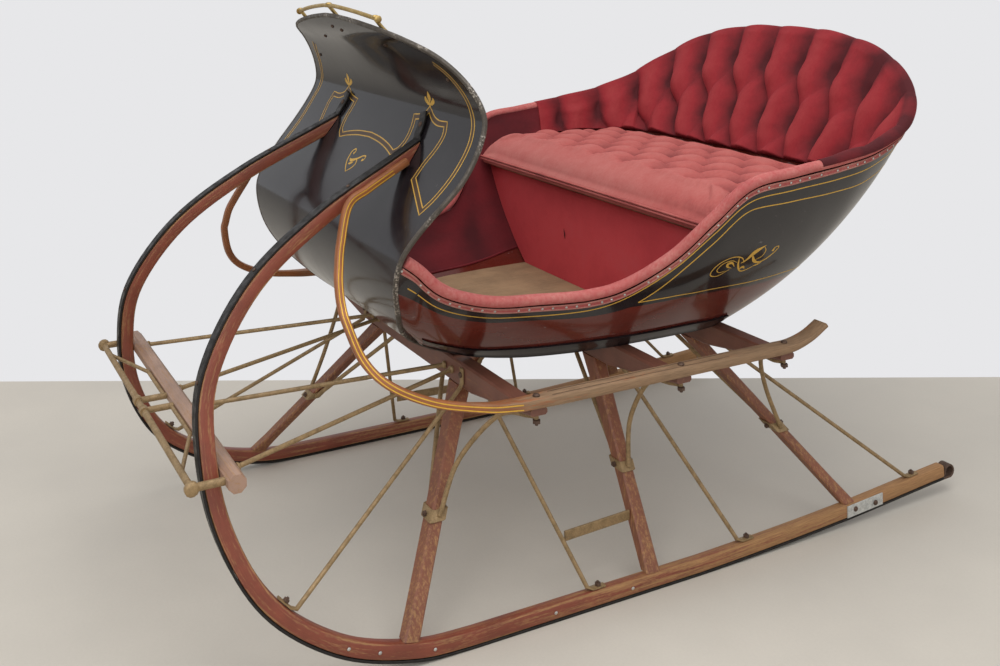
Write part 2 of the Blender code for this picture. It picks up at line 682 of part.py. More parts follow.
def make_step_bar(label, side, mat):
    """Flat iron foot rest between the second stay and the middle knee."""
    height = CLAMP_HEIGHT * 0.6
    knee = knee_axis(KNEE_MIDDLE_Y, BENCH_MIDDLE_Y, height)
    _, thick = knee_section(0.25)
    x = knee.x
    start = (x, BENCH_FRONT_Y + (knee.y - BENCH_FRONT_Y) * 0.55, height)
    end = (x, knee.y - thick / 2 - 6 * GAP, height)
    flat = section(STEP_THICKNESS, STEP_WIDTH, STEP_THICKNESS / 5)
    return sweep("step_bar_" + label, mirrored([start, end], side), flat, mat)


def make_mend_plate(mat):
    """Flat plate screwed to the outer face of the left runner, where it was repaired."""
    x = TRACK / 2 + RUNNER_WIDTH / 2 + GAP + MEND_THICKNESS / 2
    a, b = runner_at(MEND_Y - MEND_LENGTH / 2), runner_at(MEND_Y + MEND_LENGTH / 2)
    rings = []
    for p in (a, b):
        rings.append([(x + runner_x(p.z) - TRACK / 2 + u, p.y, p.z + v)
                      for u, v in section(MEND_THICKNESS, MEND_HEIGHT, MEND_THICKNESS / 5)])
    return loft("mend_plate", rings, mat)


# Body

def wall_surface(station, share):
    """Point on the outer face of a tub wall, by station from the dash and share of height."""
    ox, oy, oz, ix, iy, iz, swell = along(WALL_SHARES, station)
    top = Vector((ox * BODY_HALF_WIDTH, oy * BODY_REAR_Y, oz * BODY_TOP_REAR))
    low = Vector((ix * BODY_HALF_WIDTH, iy * BODY_REAR_Y, iz * BODY_TOP_REAR))
    out_x, out_y, rise = top.x - low.x, top.y - low.y, top.z - low.z
    flat = math.hypot(out_x, out_y)
    normal = Vector((out_x / flat * rise, out_y / flat * rise, -flat)).normalized()
    return low.lerp(top, share) + normal * (swell * BODY_HALF_WIDTH * 4 * share * (1 - share))


def front_edge(share, depth):
    """The wall's front edge, which follows the edge of the dash along its rear face."""
    low = WALL_SHARES[0][5] * BODY_TOP_REAR
    high = WALL_SHARES[0][2] * BODY_TOP_REAR
    height = low + (high - low) * share
    _, half, _ = dash_at(height)
    _, above, _ = dash_at(height + WALL)
    _, below, _ = dash_at(height - WALL)
    inward = Vector((-2 * WALL, 0.0, above - below)).normalized() * depth
    x, z = half - WALL / 4 + inward.x, height + inward.z
    front, _, thick = dash_at(z)
    return Vector((x, front + thick + DASH_CLEARANCE * 1.6, z))


WALLS = {}


def wall_lattice(depth):
    """Facet corners of the wall at a depth inward, so that layers lie flat on each other."""
    if depth in WALLS:
        return WALLS[depth]
    step = 0.02
    grid = []
    for column in range(WALL_STATIONS * WALL_COLUMNS + 1):
        station = column / WALL_COLUMNS
        line = []
        for share in ROW_SHARES:
            if column == 0:
                line.append(front_edge(share, depth))
                continue
            ds = (wall_surface(min(station + step, WALL_STATIONS), share)
                  - wall_surface(station - step, share))
            dv = (wall_surface(station, min(share + step, 1.0))
                  - wall_surface(station, max(share - step, 0.0)))
            normal = ds.cross(dv)
            if station >= WALL_STATIONS - step:
                normal.x = 0.0
            normal.normalize()
            line.append(wall_surface(station, share) - normal * depth)
        grid.append(line)
    WALLS[depth] = grid
    return grid


def wall_point(station, share, depth=0.0):
    """Point on the faceted wall: station from the dash, share of its height, depth inward."""
    grid = wall_lattice(depth)
    place = min(max(station, 0.0), float(WALL_STATIONS)) * WALL_COLUMNS
    c = min(int(place), WALL_STATIONS * WALL_COLUMNS - 1)
    r = 0
    while r < len(ROW_SHARES) - 2 and share > ROW_SHARES[r + 1]:
        r += 1
    t = (share - ROW_SHARES[r]) / (ROW_SHARES[r + 1] - ROW_SHARES[r])
    ahead = grid[c][r].lerp(grid[c][r + 1], t)
    behind = grid[c + 1][r].lerp(grid[c + 1][r + 1], t)
    return ahead.lerp(behind, place - c)


def columns_between(start, end):
    """Stations of the facet columns from one station to another, with both ends."""
    first, last = int(start * WALL_COLUMNS) + 1, math.ceil(end * WALL_COLUMNS)
    return [start] + [k / WALL_COLUMNS for k in range(first, last)] + [end]


def wall_grid(start, end, shares, depth, side):
    stations = columns_between(start, end)
    grid = []
    for share in shares:
        row = [wall_point(station, share, depth) for station in stations]
        grid.append([(p.x * side, p.y, p.z) for p in row])
    return grid


def both_ways(grid):
    """Carries rows that end at the middle of the back on to the other side."""
    return [row + [(-p[0], p[1], p[2]) for p in reversed(row[:-1])] for row in grid]


def make_side(label, side, mat):
    grids = [wall_grid(0.0, CORNER_STATION, ROW_SHARES, depth, side) for depth in (0.0, WALL)]
    return shell("side_panel_" + label, *grids, mat)


def make_back(mat):
    start = CORNER_STATION + SEAM_SHARE
    grids = [both_ways(wall_grid(start, WALL_STATIONS, ROW_SHARES, depth, 1.0)) for depth in (0.0, WALL)]
    return shell("back_panel", *grids, mat)


def make_lining(label, side, mat):
    end = WING_STATION - SEAM_SHARE
    shares = [share for share in ROW_SHARES if share > 0.0]
    grids = [wall_grid(0.5, end, shares, WALL + SOFT_GAP + deep, side) for deep in (0.0, LINING)]
    return shell("lining_" + label, *grids, mat)


def share_at_height(station, height, depth):
    low, high = 0.0, 1.0
    for _ in range(30):
        middle = (low + high) / 2
        if wall_point(station, middle, depth).z < height:
            low = middle
        else:
            high = middle
    return (low + high) / 2


def make_seat_back(mat):
    """Thick padding from wing to wing, from the cushion to the top edge."""
    base = CUSHION_BOTTOM + CUSHION_HEIGHT + SOFT_GAP
    stations = columns_between(WING_STATION, float(WALL_STATIONS))
    outer, inner = [], []
    for row, deep in enumerate(PAD_SHARES):
        rise = row / (len(PAD_SHARES) - 1)
        outer_row, inner_row = [], []
        for station in stations:
            low = share_at_height(station, base, WALL)
            share = low + (1 - low) * rise
            grow = min((station - WING_STATION) / 2 + 0.4, 1.0)
            here = wall_point(station, share, WALL + SOFT_GAP)
            there = wall_point(station, share, WALL + SOFT_GAP + PAD)
            there = here.lerp(there, deep * grow)
            if row == 0:
                there.z = here.z
            outer_row.append(tuple(here))
            inner_row.append(tuple(there))
        outer.append(outer_row)
        inner.append(inner_row)
    return shell("seat_back", both_ways(outer), both_ways(inner), mat)


def make_binding(mat):
    """Round velvet roll over the top edge, from the dash round to the dash."""
    route = []
    for station in columns_between(0.2, float(WALL_STATIONS)):
        edge = (wall_point(station, 1.0) + wall_point(station, 1.0, WALL)) / 2
        under = (wall_point(station, 0.9) + wall_point(station, 0.9, WALL)) / 2
        along_edge = (wall_point(station + 0.1, 1.0) - wall_point(station - 0.1, 1.0)).normalized()
        rise = edge - under
        rise -= along_edge * rise.dot(along_edge)
        if station == WALL_STATIONS:
            rise.x = 0.0
        route.append(tuple(edge + rise.normalized() * (BINDING_RADIUS + BINDING_DROP)))
    other = [(-x, y, z) for x, y, z in reversed(route[:-1])]
    return sweep("binding", route + other, circle(BINDING_RADIUS), mat, Vector((0.0, 0.0, 1.0)))


def station_at(y, share, depth):
    """Station on the wall whose point lies at the given distance back."""
    low, high = 0.0, float(WALL_STATIONS)
    for _ in range(40):
        middle = (low + high) / 2
        if wall_point(middle, share, depth).y < y:
            low = middle
        else:
            high = middle
    return (low + high) / 2


def make_sill(label, side, mat):
    """Black moulding along the foot of the side, from the dash to the rear bench."""
    end = station_at(SILL_END_Y, 0.0, 0.0)
    near, far = [], []
    for up in (0.0, SILL_HEIGHT / 2, SILL_HEIGHT):
        near_row, far_row = [], []
        for station in columns_between(0.5, end):
            low, high = wall_point(station, 0.0), wall_point(station, ROW_SHARES[1])
            p = low.lerp(high, up / (high.z - low.z))
            ahead = wall_point(station + 0.1, 0.0) - wall_point(station - 0.1, 0.0)
            out = Vector((ahead.y, -ahead.x, 0.0)).normalized()
            a = p + out * SOFT_GAP
            b = p + out * (SILL_THICKNESS if up < SILL_HEIGHT else SILL_THICKNESS / 2)
            near_row.append((a.x * side, a.y, a.z))
            far_row.append((b.x * side, b.y, b.z))
        near.append(near_row)
        far.append(far_row)
    return shell("sill_" + label, far, near, mat)


def floor_rise(y):
    start = BENCH_REAR_Y + BENCH_THICKNESS / 2
    return FLOOR_REAR_RISE * max((y - start) / (FLOOR_REAR_Y - start), 0.0) ** 1.5


def make_floor(mat):
    """Boards between the walls, rising behind the rear bench."""
    top, bottom = [], []
    spread = (-1.0, -0.5, 0.0, 0.5, 1.0)
    for share in FLOOR_ROW_SHARES:
        y = FLOOR_FRONT_Y + (FLOOR_REAR_Y - FLOOR_FRONT_Y) * share
        half = wall_point(station_at(y, 0.0, WALL), 0.0, WALL).x - SOFT_GAP
        base = BODY_BASE + floor_rise(y)
        bottom.append([(half * c, y, base) for c in spread])
        top.append([(half * c, y, base + FLOOR_THICKNESS) for c in spread])
    return shell("floor", top, bottom, mat)


def clear_half_width(y, height, depth):
    """Half the clear width between the walls at a place and height."""
    low, high = 0.0, 1.0
    for _ in range(30):
        middle = (low + high) / 2
        if wall_point(station_at(y, middle, depth), middle, depth).z < height:
            low = middle
        else:
            high = middle
    share = (low + high) / 2
    return wall_point(station_at(y, share, depth), share, depth).x


def make_riser(mat):
    """Board under the front of the seat, from lining to lining."""
    depth = WALL + SOFT_GAP + LINING
    base = BODY_BASE + FLOOR_THICKNESS + GAP
    top = CUSHION_BOTTOM - SEAT_BOARD_THICKNESS - 2 * GAP
    grids = []
    for y in (RISER_Y, RISER_Y + RISER_THICKNESS):
        grid = []
        for k in range(RISER_ROWS + 1):
            z = base + (top - base) * k / RISER_ROWS
            half = clear_half_width(RISER_Y, z, depth) - SOFT_GAP
            grid.append([(-half, y, z), (half, y, z)])
        grids.append(grid)
    return shell("seat_riser", *grids, mat)


def seat_rows(front_y, rear_y, height, depth):
    """Rows across the tub, closer together where the back rounds off."""
    rows = []
    for share in SEAT_ROW_SHARES:
        y = front_y + (rear_y - front_y) * share
        rows.append((y, clear_half_width(y, height, depth) - 2 * SOFT_GAP))
    return rows


def make_seat_board(mat):
    """Board the cushion lies on, let into the walls behind the riser."""
    top = CUSHION_BOTTOM - GAP
    base = top - SEAT_BOARD_THICKNESS
    rows = seat_rows(RISER_Y, SEAT_REAR_Y, base, WALL + SOFT_GAP + LINING)
    lower = [[(half * c, y, base) for c in (-1.0, 1.0)] for y, half in rows]
    upper = [[(half * c, y, top) for c in (-1.0, 1.0)] for y, half in rows]
    return shell("seat_board", upper, lower, mat)


def make_cushion(mat):
    """Loose seat cushion, straight in front and rounded to the tub behind."""
    rows = seat_rows(CUSHION_FRONT_Y, CUSHION_REAR_Y, CUSHION_BOTTOM, WALL + SOFT_GAP + LINING)
    lower, upper = [], []
    for i, (y, half) in enumerate(rows):
        crown = CUSHION_HEIGHT * (0.6 if i in (0, len(rows) - 1) else 1.0)
        lower.append([(half * c, y, CUSHION_BOTTOM) for c, _ in CUSHION_SHARES])
        upper.append([(half * c, y, CUSHION_BOTTOM + crown * up) for c, up in CUSHION_SHARES])
    return shell("seat_cushion", upper, lower, mat)


# Dash

def dash_rows():
    rows = []
    for up, back, out in spline(DASH_SHARES, 2):
        height = DASH_BASE + up * (DASH_HEIGHT - DASH_BASE)
        rows.append((DASH_BELLY_Y + back * DASH_DEPTH, height, out * DASH_HALF_WIDTH))
    return rows


def dash_at(height):
    """Front face, half width and thickness along Y of the dash at a height."""
    rows = dash_rows()
    for a, b in zip(rows, rows[1:]):
        if a[1] <= height <= b[1]:
            t = (height - a[1]) / (b[1] - a[1])
            slope = (b[0] - a[0]) / (b[1] - a[1])
            thick = DASH_THICKNESS * math.sqrt(1 + slope ** 2)
            return a[0] + (b[0] - a[0]) * t, a[2] + (b[2] - a[2]) * t, thick
    return rows[-1][0], rows[-1][2], DASH_THICKNESS


def make_dash(mat):
    """Swan-necked sheet: one curved profile across, flaring up to an arched top."""
    rows = dash_rows()
    front, back = [], []
    for i, (y, z, half) in enumerate(rows):
        y0, z0, _ = rows[max(i - 1, 0)]
        y1, z1, _ = rows[min(i + 1, len(rows) - 1)]
        length = math.hypot(y1 - y0, z1 - z0)
        ny, nz = (z1 - z0) / length, -(y1 - y0) / length
        columns = [2 * k / DASH_COLUMNS - 1 for k in range(DASH_COLUMNS + 1)]
        front.append([(half * c, y, z) for c in columns])
        back.append([(half * c, y + ny * DASH_THICKNESS, z + nz * DASH_THICKNESS) for c in columns])
    return shell("dash", front, back, mat)


def dash_top(x):
    """Place and height of the dash's arched top edge at a distance from its middle."""
    rows = dash_rows()
    for a, b in zip(rows, rows[1:]):
        if a[2] >= abs(x) >= b[2] and a[1] > DASH_HEIGHT * 0.8:
            t = (a[2] - abs(x)) / (a[2] - b[2])
            return a[0] + (b[0] - a[0]) * t, a[1] + (b[1] - a[1]) * t
    return rows[-1][0], rows[-1][1]


def make_dash_rail(mat):
    """Brass rail on three posts over the dash's arched top."""
    route = []
    steps = 10
    for k in range(steps + 1):
        x = RAIL_HALF_SPAN * (1 - 2 * k / steps)
        y, z = dash_top(x)
        route.append((x, y, z + RAIL_STAND))
    tube = sweep("dash_rail", route, circle(RAIL_TUBE_RADIUS), mat, Vector((0.0, 0.0, 1.0)))
    posts = []
    radius = RAIL_TUBE_RADIUS * 0.9
    for label, x in (("left", RAIL_HALF_SPAN * 0.96), ("middle", 0.0), ("right", -RAIL_HALF_SPAN * 0.96)):
        y, z = dash_top(x)
        low, _, thick = dash_at(z - RAIL_STAND)
        foot = (x, low + thick + radius * 2, z - RAIL_STAND)
        bend = (x, y + DASH_THICKNESS * 1.5 + radius * 2, z + GAP)
        posts.append(sweep("dash_rail_post_" + label, [foot, bend, (x, y, z + RAIL_STAND)],
                           circle(radius), mat))
    return join(tube, posts)


def make_back_stay(label, side, mat):
    """Curved iron from the rear bench up under the overhanging back."""
    clear = BACK_STAY_RADIUS + GAP * 2
    end = wall_point(BACK_STAY_STATION, 0.30, -clear)
    rest = wall_point(BACK_STAY_STATION, 0.12, -clear * 1.3)
    x = rest.x
    face = BENCH_REAR_Y + BENCH_THICKNESS / 2 + BACK_STAY_RADIUS + GAP
    top = BENCH_TOP - BACK_STAY_RADIUS
    low = BENCH_TOP - BENCH_HEIGHT / 2
    under = wall_point(BACK_STAY_STATION, 0.0, -clear * 2)
    route = spline([(x, face, low), (x, face + BACK_STAY_RADIUS, top - BACK_STAY_RADIUS * 2),
                    (x, face + BENCH_THICKNESS / 2, top - BACK_STAY_RADIUS), tuple(under),
                    tuple(rest), tuple(end)], 3)
    return sweep("back_stay_" + label, mirrored(route, side), circle(BACK_STAY_RADIUS), mat)


def settle():
    """Moves the whole sleigh so that its footprint's middle is the origin."""
    bpy.context.view_layer.update()
    low, high = math.inf, -math.inf
    floor = math.inf
    for obj in bpy.data.objects:
        if obj.hide_render:
            continue
        for corner in obj.bound_box:
            low, high = min(low, corner[1]), max(high, corner[1])
            floor = min(floor, corner[2])
    shift = Vector((0.0, -(low + high) / 2, -floor))
    meshes = {obj.data for obj in bpy.data.objects}
    for mesh in meshes:
        for vertex in mesh.vertices:
            vertex.co += shift


def build():
    clear_scene()
    runner_wood = material("runner wood", (0.23, 0.055, 0.025), 0.5)
    bench_wood = material("bench wood", (0.14, 0.04, 0.025), 0.55)
    steel = material("shoe steel", (0.03, 0.03, 0.032), 0.45, 0.6)
    iron = material("brown iron", (0.16, 0.09, 0.05), 0.5, 0.5)
    copper = material("fender paint", (0.30, 0.11, 0.035), 0.35)
    black = material("black lacquer", (0.012, 0.012, 0.013), 0.2)
    maroon = material("maroon lacquer", (0.05, 0.012, 0.008), 0.25)
    velvet = material("crimson velvet", (0.22, 0.012, 0.02), 0.9)
    worn = material("worn velvet", (0.42, 0.07, 0.08), 0.9)
    boards = material("floor boards", (0.28, 0.2, 0.13), 0.8)
    brass = material("brass", (0.6, 0.45, 0.2), 0.35, 1.0)
    zinc = material("zinc plate", (0.6, 0.6, 0.58), 0.5, 0.8)

    knees = (("front", KNEE_FRONT_Y, BENCH_FRONT_Y), ("middle", KNEE_MIDDLE_Y, BENCH_MIDDLE_Y),
             ("rear", KNEE_REAR_Y, BENCH_REAR_Y))
    for label, side in SIDES:
        make_runner(label, side, runner_wood)
        make_shoe(label, side, steel)
        for place, foot_y, bench_y in knees:
            tag = place + "_" + label
            make_knee("knee_" + tag, side, foot_y, bench_y, runner_wood)
            make_knee_iron("knee_iron_" + tag, side, foot_y, bench_y, iron)
        make_step_bar(label, side, iron)
        make_side(label, side, maroon)
        make_sill(label, side, black)
        make_lining(label, side, velvet)
        make_back_stay(label, side, iron)
    for place, _, bench_y in knees:
        make_bench("bench_" + place, bench_y, bench_wood)
    make_stays(iron)
    make_cross_bar(bench_wood)
    make_shift_iron(iron)
    make_bar_rods(iron)
    make_mend_plate(zinc)
    make_floor(boards)
    make_back(black)
    make_riser(velvet)
    make_seat_board(boards)
    make_cushion(worn)
    make_seat_back(velvet)
    make_binding(velvet)
    make_dash(black)
    make_dash_rail(brass)
    for label, side in SIDES:
        make_fender(label, side, copper)
    settle()


build()
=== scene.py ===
"""Dresses a horse drawn sleigh, a two-seat cutter on bent runners, and sets its stage.

Metres, +Z up. The sleigh faces -Y and its left side is +X. Sizes measured along the
sleigh count from the feet of the front knees and are moved on to the model at the end.
"""
import math
from itertools import product

import bmesh
import bpy
from mathutils import Matrix, Vector, noise


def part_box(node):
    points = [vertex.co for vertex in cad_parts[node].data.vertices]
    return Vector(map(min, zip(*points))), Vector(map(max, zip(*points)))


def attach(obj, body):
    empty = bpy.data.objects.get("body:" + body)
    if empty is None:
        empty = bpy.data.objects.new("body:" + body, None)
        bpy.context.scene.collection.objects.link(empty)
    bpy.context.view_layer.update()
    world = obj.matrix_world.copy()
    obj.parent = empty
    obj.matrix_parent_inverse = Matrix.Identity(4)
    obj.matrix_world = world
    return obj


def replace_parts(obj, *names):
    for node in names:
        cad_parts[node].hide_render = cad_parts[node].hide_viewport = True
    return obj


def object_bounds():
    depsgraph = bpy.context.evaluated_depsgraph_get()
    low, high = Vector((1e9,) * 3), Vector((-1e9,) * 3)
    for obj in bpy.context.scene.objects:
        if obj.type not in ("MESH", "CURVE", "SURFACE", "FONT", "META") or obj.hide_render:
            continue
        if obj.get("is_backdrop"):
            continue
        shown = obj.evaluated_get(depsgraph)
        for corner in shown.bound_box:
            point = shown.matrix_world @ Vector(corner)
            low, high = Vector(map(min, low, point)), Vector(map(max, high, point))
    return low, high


bl_info = {
    "name": "Horse drawn sleigh",
    "version": (1, 0, 0),
    "blender": (4, 5, 0),
    "location": "3D View > Sidebar > Sleigh",
    "description": "Finishes, upholstery, striping and hardware of a two-seat cutter",
    "category": "Object",
}

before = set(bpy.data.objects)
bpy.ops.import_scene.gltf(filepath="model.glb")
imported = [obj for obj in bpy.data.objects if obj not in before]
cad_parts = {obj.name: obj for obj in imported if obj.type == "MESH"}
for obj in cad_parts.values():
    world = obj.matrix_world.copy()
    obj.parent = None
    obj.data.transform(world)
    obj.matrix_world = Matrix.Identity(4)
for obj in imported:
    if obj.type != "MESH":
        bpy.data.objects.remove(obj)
MM = 0.001
X_AXIS = Vector((1.0, 0.0, 0.0))
Y_AXIS = Vector((0.0, 1.0, 0.0))
Z_AXIS = Vector((0.0, 0.0, 1.0))
SIDES = (("left", 1.0), ("right", -1.0))

# Sizes that the model was laid out with
TRACK = 0.942
RUNNER_LENGTH = 1.722
RUNNER_RISE = 0.855
RUNNER_LEAD = 0.339
RUNNER_WIDTH = 0.025
RUNNER_DEPTH = 0.029
RUNNER_LEAN = 0.273
SHOE_THICKNESS = 0.005
SHOE_EYE_RADIUS = 0.014
SHOE_STRAP_LENGTH = 0.075
GAP = 0.0003
BENCH_Y = {"front": 0.235, "middle": 0.570, "rear": 0.840}
BENCH_TOP = 0.4465
BENCH_HEIGHT = 0.052
BENCH_END_HEIGHT = 0.014
BENCH_THICKNESS = 0.036
BENCH_HALF_LENGTH = 0.538
BENCH_STRAIGHT = 0.290
KNEE_Y = {"front": 0.0, "middle": 0.535, "rear": 1.078}
KNEE_TOP_X = 0.212
CLAMP_HEIGHT = 0.205
STAY_TOP_X = 0.262
STAY_RADIUS = 0.0045
BAR_HEIGHT = 0.385
BAR_WIDTH = 0.032
SHIFT_ROD_AHEAD = 0.074
SHIFT_ROD_HALF = 0.418
RAIL_X = 0.528
RAIL_WIDTH = 0.040
RAIL_THICKNESS = 0.019
BOW_WIDTH = 0.016
RAIL_END_Y = 0.945
RAIL_END_RISE = 0.052
BODY_HALF_WIDTH = 0.580
BODY_TOP_REAR = 1.050
BODY_REAR_Y = 1.352
WALL = 0.012
LINING = 0.008
SOFT_GAP = 0.0006
SILL_HEIGHT = 0.030
SILL_THICKNESS = 0.009
SILL_END_Y = 0.835
RISER_Y = 0.700
CUSHION_FRONT_Y = 0.668
CUSHION_BOTTOM = 0.705
CUSHION_HEIGHT = 0.085
CUSHION_REAR_Y = 1.120
BINDING_RADIUS = 0.011
BINDING_DROP = 0.0012
DASH_HEIGHT = 1.158
DASH_BASE = 0.4485
DASH_HALF_WIDTH = 0.481
DASH_THICKNESS = 0.008
DASH_DEPTH = 0.174
DASH_BELLY_Y = -0.006
DASH_CLEARANCE = 0.0010
RAIL_TUBE_RADIUS = 0.0045
RAIL_STAND = 0.024
RAIL_HALF_SPAN = 0.235

# Runner centre line: back, up
RUNNER_SHARES = (
    (0.2537, 1.0), (0.1488, 0.8936), (0.0634, 0.7696), (0.0098, 0.6117), (0.0, 0.4643),
    (0.0127, 0.3088), (0.0513, 0.1637), (0.1188, 0.0608), (0.1955, 0.0117), (0.2705, 0.0),
    (0.4257, 0.0), (0.5761, 0.0), (0.7895, 0.0135), (1.0, 0.0398))
# Dash: up, back, out
DASH_SHARES = (
    (0.0, 1.47, 0.43), (0.013, 1.18, 0.43), (0.0422, 0.9, 0.438), (0.0747, 0.68, 0.47),
    (0.1477, 0.322, 0.655), (0.2208, 0.126, 0.809), (0.276, 0.04, 0.848),
    (0.3312, 0.0, 0.877), (0.3799, 0.012, 0.911), (0.4205, 0.057, 0.925),
    (0.4968, 0.293, 0.96), (0.5601, 0.54, 0.988), (0.6104, 0.73, 1.0),
    (0.7143, 0.983, 0.965), (0.7565, 1.0, 0.95), (0.8344, 0.897, 0.898),
    (0.9058, 0.655, 0.792), (0.9286, 0.517, 0.721), (0.9529, 0.379, 0.644),
    (0.9692, 0.31, 0.507), (0.9838, 0.264, 0.351), (0.9935, 0.235, 0.208),
    (1.0, 0.218, 0.062))
# Tub walls. Top edge: out, back, up. Bottom edge: out, back, up. Swell
WALL_SHARES = (
    (0.738, 0.012, 0.681, 0.400, 0.086, 0.4770, 0.044),
    (0.717, 0.067, 0.614, 0.390, 0.125, 0.4535, 0.034),
    (0.698, 0.148, 0.574, 0.405, 0.185, 0.4290, 0.026),
    (0.693, 0.237, 0.560, 0.480, 0.248, 0.4257, 0.022),
    (0.703, 0.325, 0.554, 0.530, 0.325, 0.4257, 0.022),
    (0.733, 0.388, 0.571, 0.550, 0.392, 0.4257, 0.026),
    (0.828, 0.444, 0.629, 0.556, 0.444, 0.4257, 0.034),
    (0.922, 0.488, 0.705, 0.559, 0.488, 0.4257, 0.044),
    (0.986, 0.534, 0.768, 0.559, 0.533, 0.4257, 0.052),
    (1.0, 0.614, 0.783, 0.555, 0.584, 0.4257, 0.060),
    (1.0, 0.710, 0.796, 0.540, 0.632, 0.4300, 0.064),
    (0.983, 0.795, 0.812, 0.505, 0.676, 0.4400, 0.066),
    (0.922, 0.884, 0.848, 0.440, 0.702, 0.4500, 0.066),
    (0.793, 0.950, 0.910, 0.350, 0.714, 0.4570, 0.064),
    (0.569, 0.987, 0.973, 0.240, 0.720, 0.4610, 0.060),
    (0.276, 1.0, 1.005, 0.120, 0.723, 0.4630, 0.058),
    (0.0, 1.003, 1.010, 0.0, 0.724, 0.4640, 0.058))
WALL_STATIONS = float(len(WALL_SHARES) - 1)
CORNER_STATION = 12.5
WING_STATION = 9.5
# Fender bow: out, back, up
FENDER_SHARES = (
    (0.615, -0.074, 1.672), (0.667, -0.090, 1.583), (0.703, -0.098, 1.523), (0.739, -0.101, 1.451),
    (0.776, -0.099, 1.391), (0.835, -0.078, 1.250), (0.890, -0.035, 1.150), (0.945, 0.045, 1.072),
    (0.985, 0.140, 1.032))
# Striping on the tub: station, share of the wall's height
OUTER_LINE = (
    (0.25, 0.850), (0.88, 0.865), (1.66, 0.870), (2.38, 0.870), (3.06, 0.858), (3.72, 0.865),
    (4.30, 0.875), (5.38, 0.915), (6.10, 0.930), (7.0, 0.930), (7.98, 0.938), (8.36, 0.940),
    (9.22, 0.940), (10.26, 0.935), (12.0, 0.940), (14.0, 0.950), (16.0, 0.955))
INNER_LINE = (
    (5.26, 0.760), (5.6, 0.790), (6.18, 0.840), (6.84, 0.850), (7.4, 0.862), (8.0, 0.885),
    (8.4, 0.885), (9.2, 0.880), (10.0, 0.870), (11.24, 0.860), (12.5, 0.870), (14.0, 0.885),
    (16.0, 0.890))
LOWER_LINE = (
    (5.26, 0.760), (6.14, 0.615), (7.0, 0.490), (7.96, 0.410), (8.94, 0.405), (10.08, 0.400),
    (11.0, 0.365), (12.0, 0.310), (13.0, 0.265), (14.0, 0.240), (15.0, 0.228), (16.0, 0.225))
PAINT_LINE = (
    (0.0, 0.740), (0.88, 0.800), (1.54, 0.805), (2.74, 0.800), (3.84, 0.770), (5.06, 0.740),
    (6.14, 0.575), (7.0, 0.455), (7.96, 0.380), (8.94, 0.372), (10.08, 0.365), (11.0, 0.335),
    (12.0, 0.280), (13.0, 0.240), (14.0, 0.215), (15.0, 0.203), (16.0, 0.200))

# Striping on the dash, from its middle out: distance out, height. A new list starts at a corner
BAND = (
    ((0.0, 0.893), (0.060, 0.8895), (0.110, 0.883), (0.147, 0.8755)),
    ((0.147, 0.8755), (0.166, 0.886), (0.176, 0.907), (0.173, 0.930), (0.166, 0.950)),
    ((0.166, 0.950), (0.183, 0.952), (0.206, 0.957), (0.2275, 0.971)),
    ((0.2275, 0.971), (0.249, 0.957), (0.278, 0.950), (0.313, 0.951)),
    ((0.313, 0.951), (0.323, 0.930), (0.318, 0.905), (0.306, 0.875), (0.307, 0.8486)),
    ((0.307, 0.8486), (0.363, 0.829), (0.419, 0.809)),
    ((0.419, 0.809), (0.431, 0.830), (0.4365, 0.860), (0.4385, 0.898), (0.436, 0.9286),
     (0.4265, 0.955), (0.415, 0.981), (0.4045, 1.009), (0.389, 1.035), (0.3686, 1.059),
     (0.342, 1.077)))


def linear(code):
    """A #rrggbb colour as the linear numbers that shaders take."""
    values = [int(code[i:i + 2], 16) / 255 for i in (1, 3, 5)]
    return tuple(v / 12.92 if v <= 0.04045 else ((v + 0.055) / 1.055) ** 2.4 for v in values)


def colour(label, code, description):
    return bpy.props.FloatVectorProperty(
        name=label, description=description, subtype="COLOR", size=3, min=0.0, max=1.0,
        default=linear(code))


def length(label, value, description):
    return bpy.props.FloatProperty(
        name=label, description=description, default=value, min=0.0, unit="LENGTH",
        subtype="DISTANCE", precision=4)


class SleighSizes(bpy.types.PropertyGroup):
    stripe_width: length("Stripe", 2.4 * MM, "Width of a gold stripe")
    band_half: length("Band", 5.5 * MM, "From the middle of the dash's band to each stripe")
    tack_spacing: length("Tack spacing", 0.027, "Between tacks along the binding")
    tack_radius: length("Tack", 2.6 * MM, "Radius of a tack's head")
    bolt_radius: length("Bolt head", 5.0 * MM, "Radius of a round bolt head")
    tuft_shift: length("Back tuft place", 0.036, "From the back's middle to the middle of a tuft")
    tuft_pitch: length("Back tufts", 0.130, "Between buttons along the back")
    tuft_rise: length("Back tuft rows", 0.136, "Between rows of buttons up the back")
    tuft_depth: length("Back tuft depth", 0.036, "From a button's pit to the crown beside it")
    biscuit_pitch: length("Seat tufts", 0.128, "Between buttons across the cushion")
    biscuit_rows: length("Seat tuft rows", 0.062, "Between rows of buttons on the cushion")
    biscuit_depth: length("Seat tuft depth", 0.026, "From a button to the crown beside it")


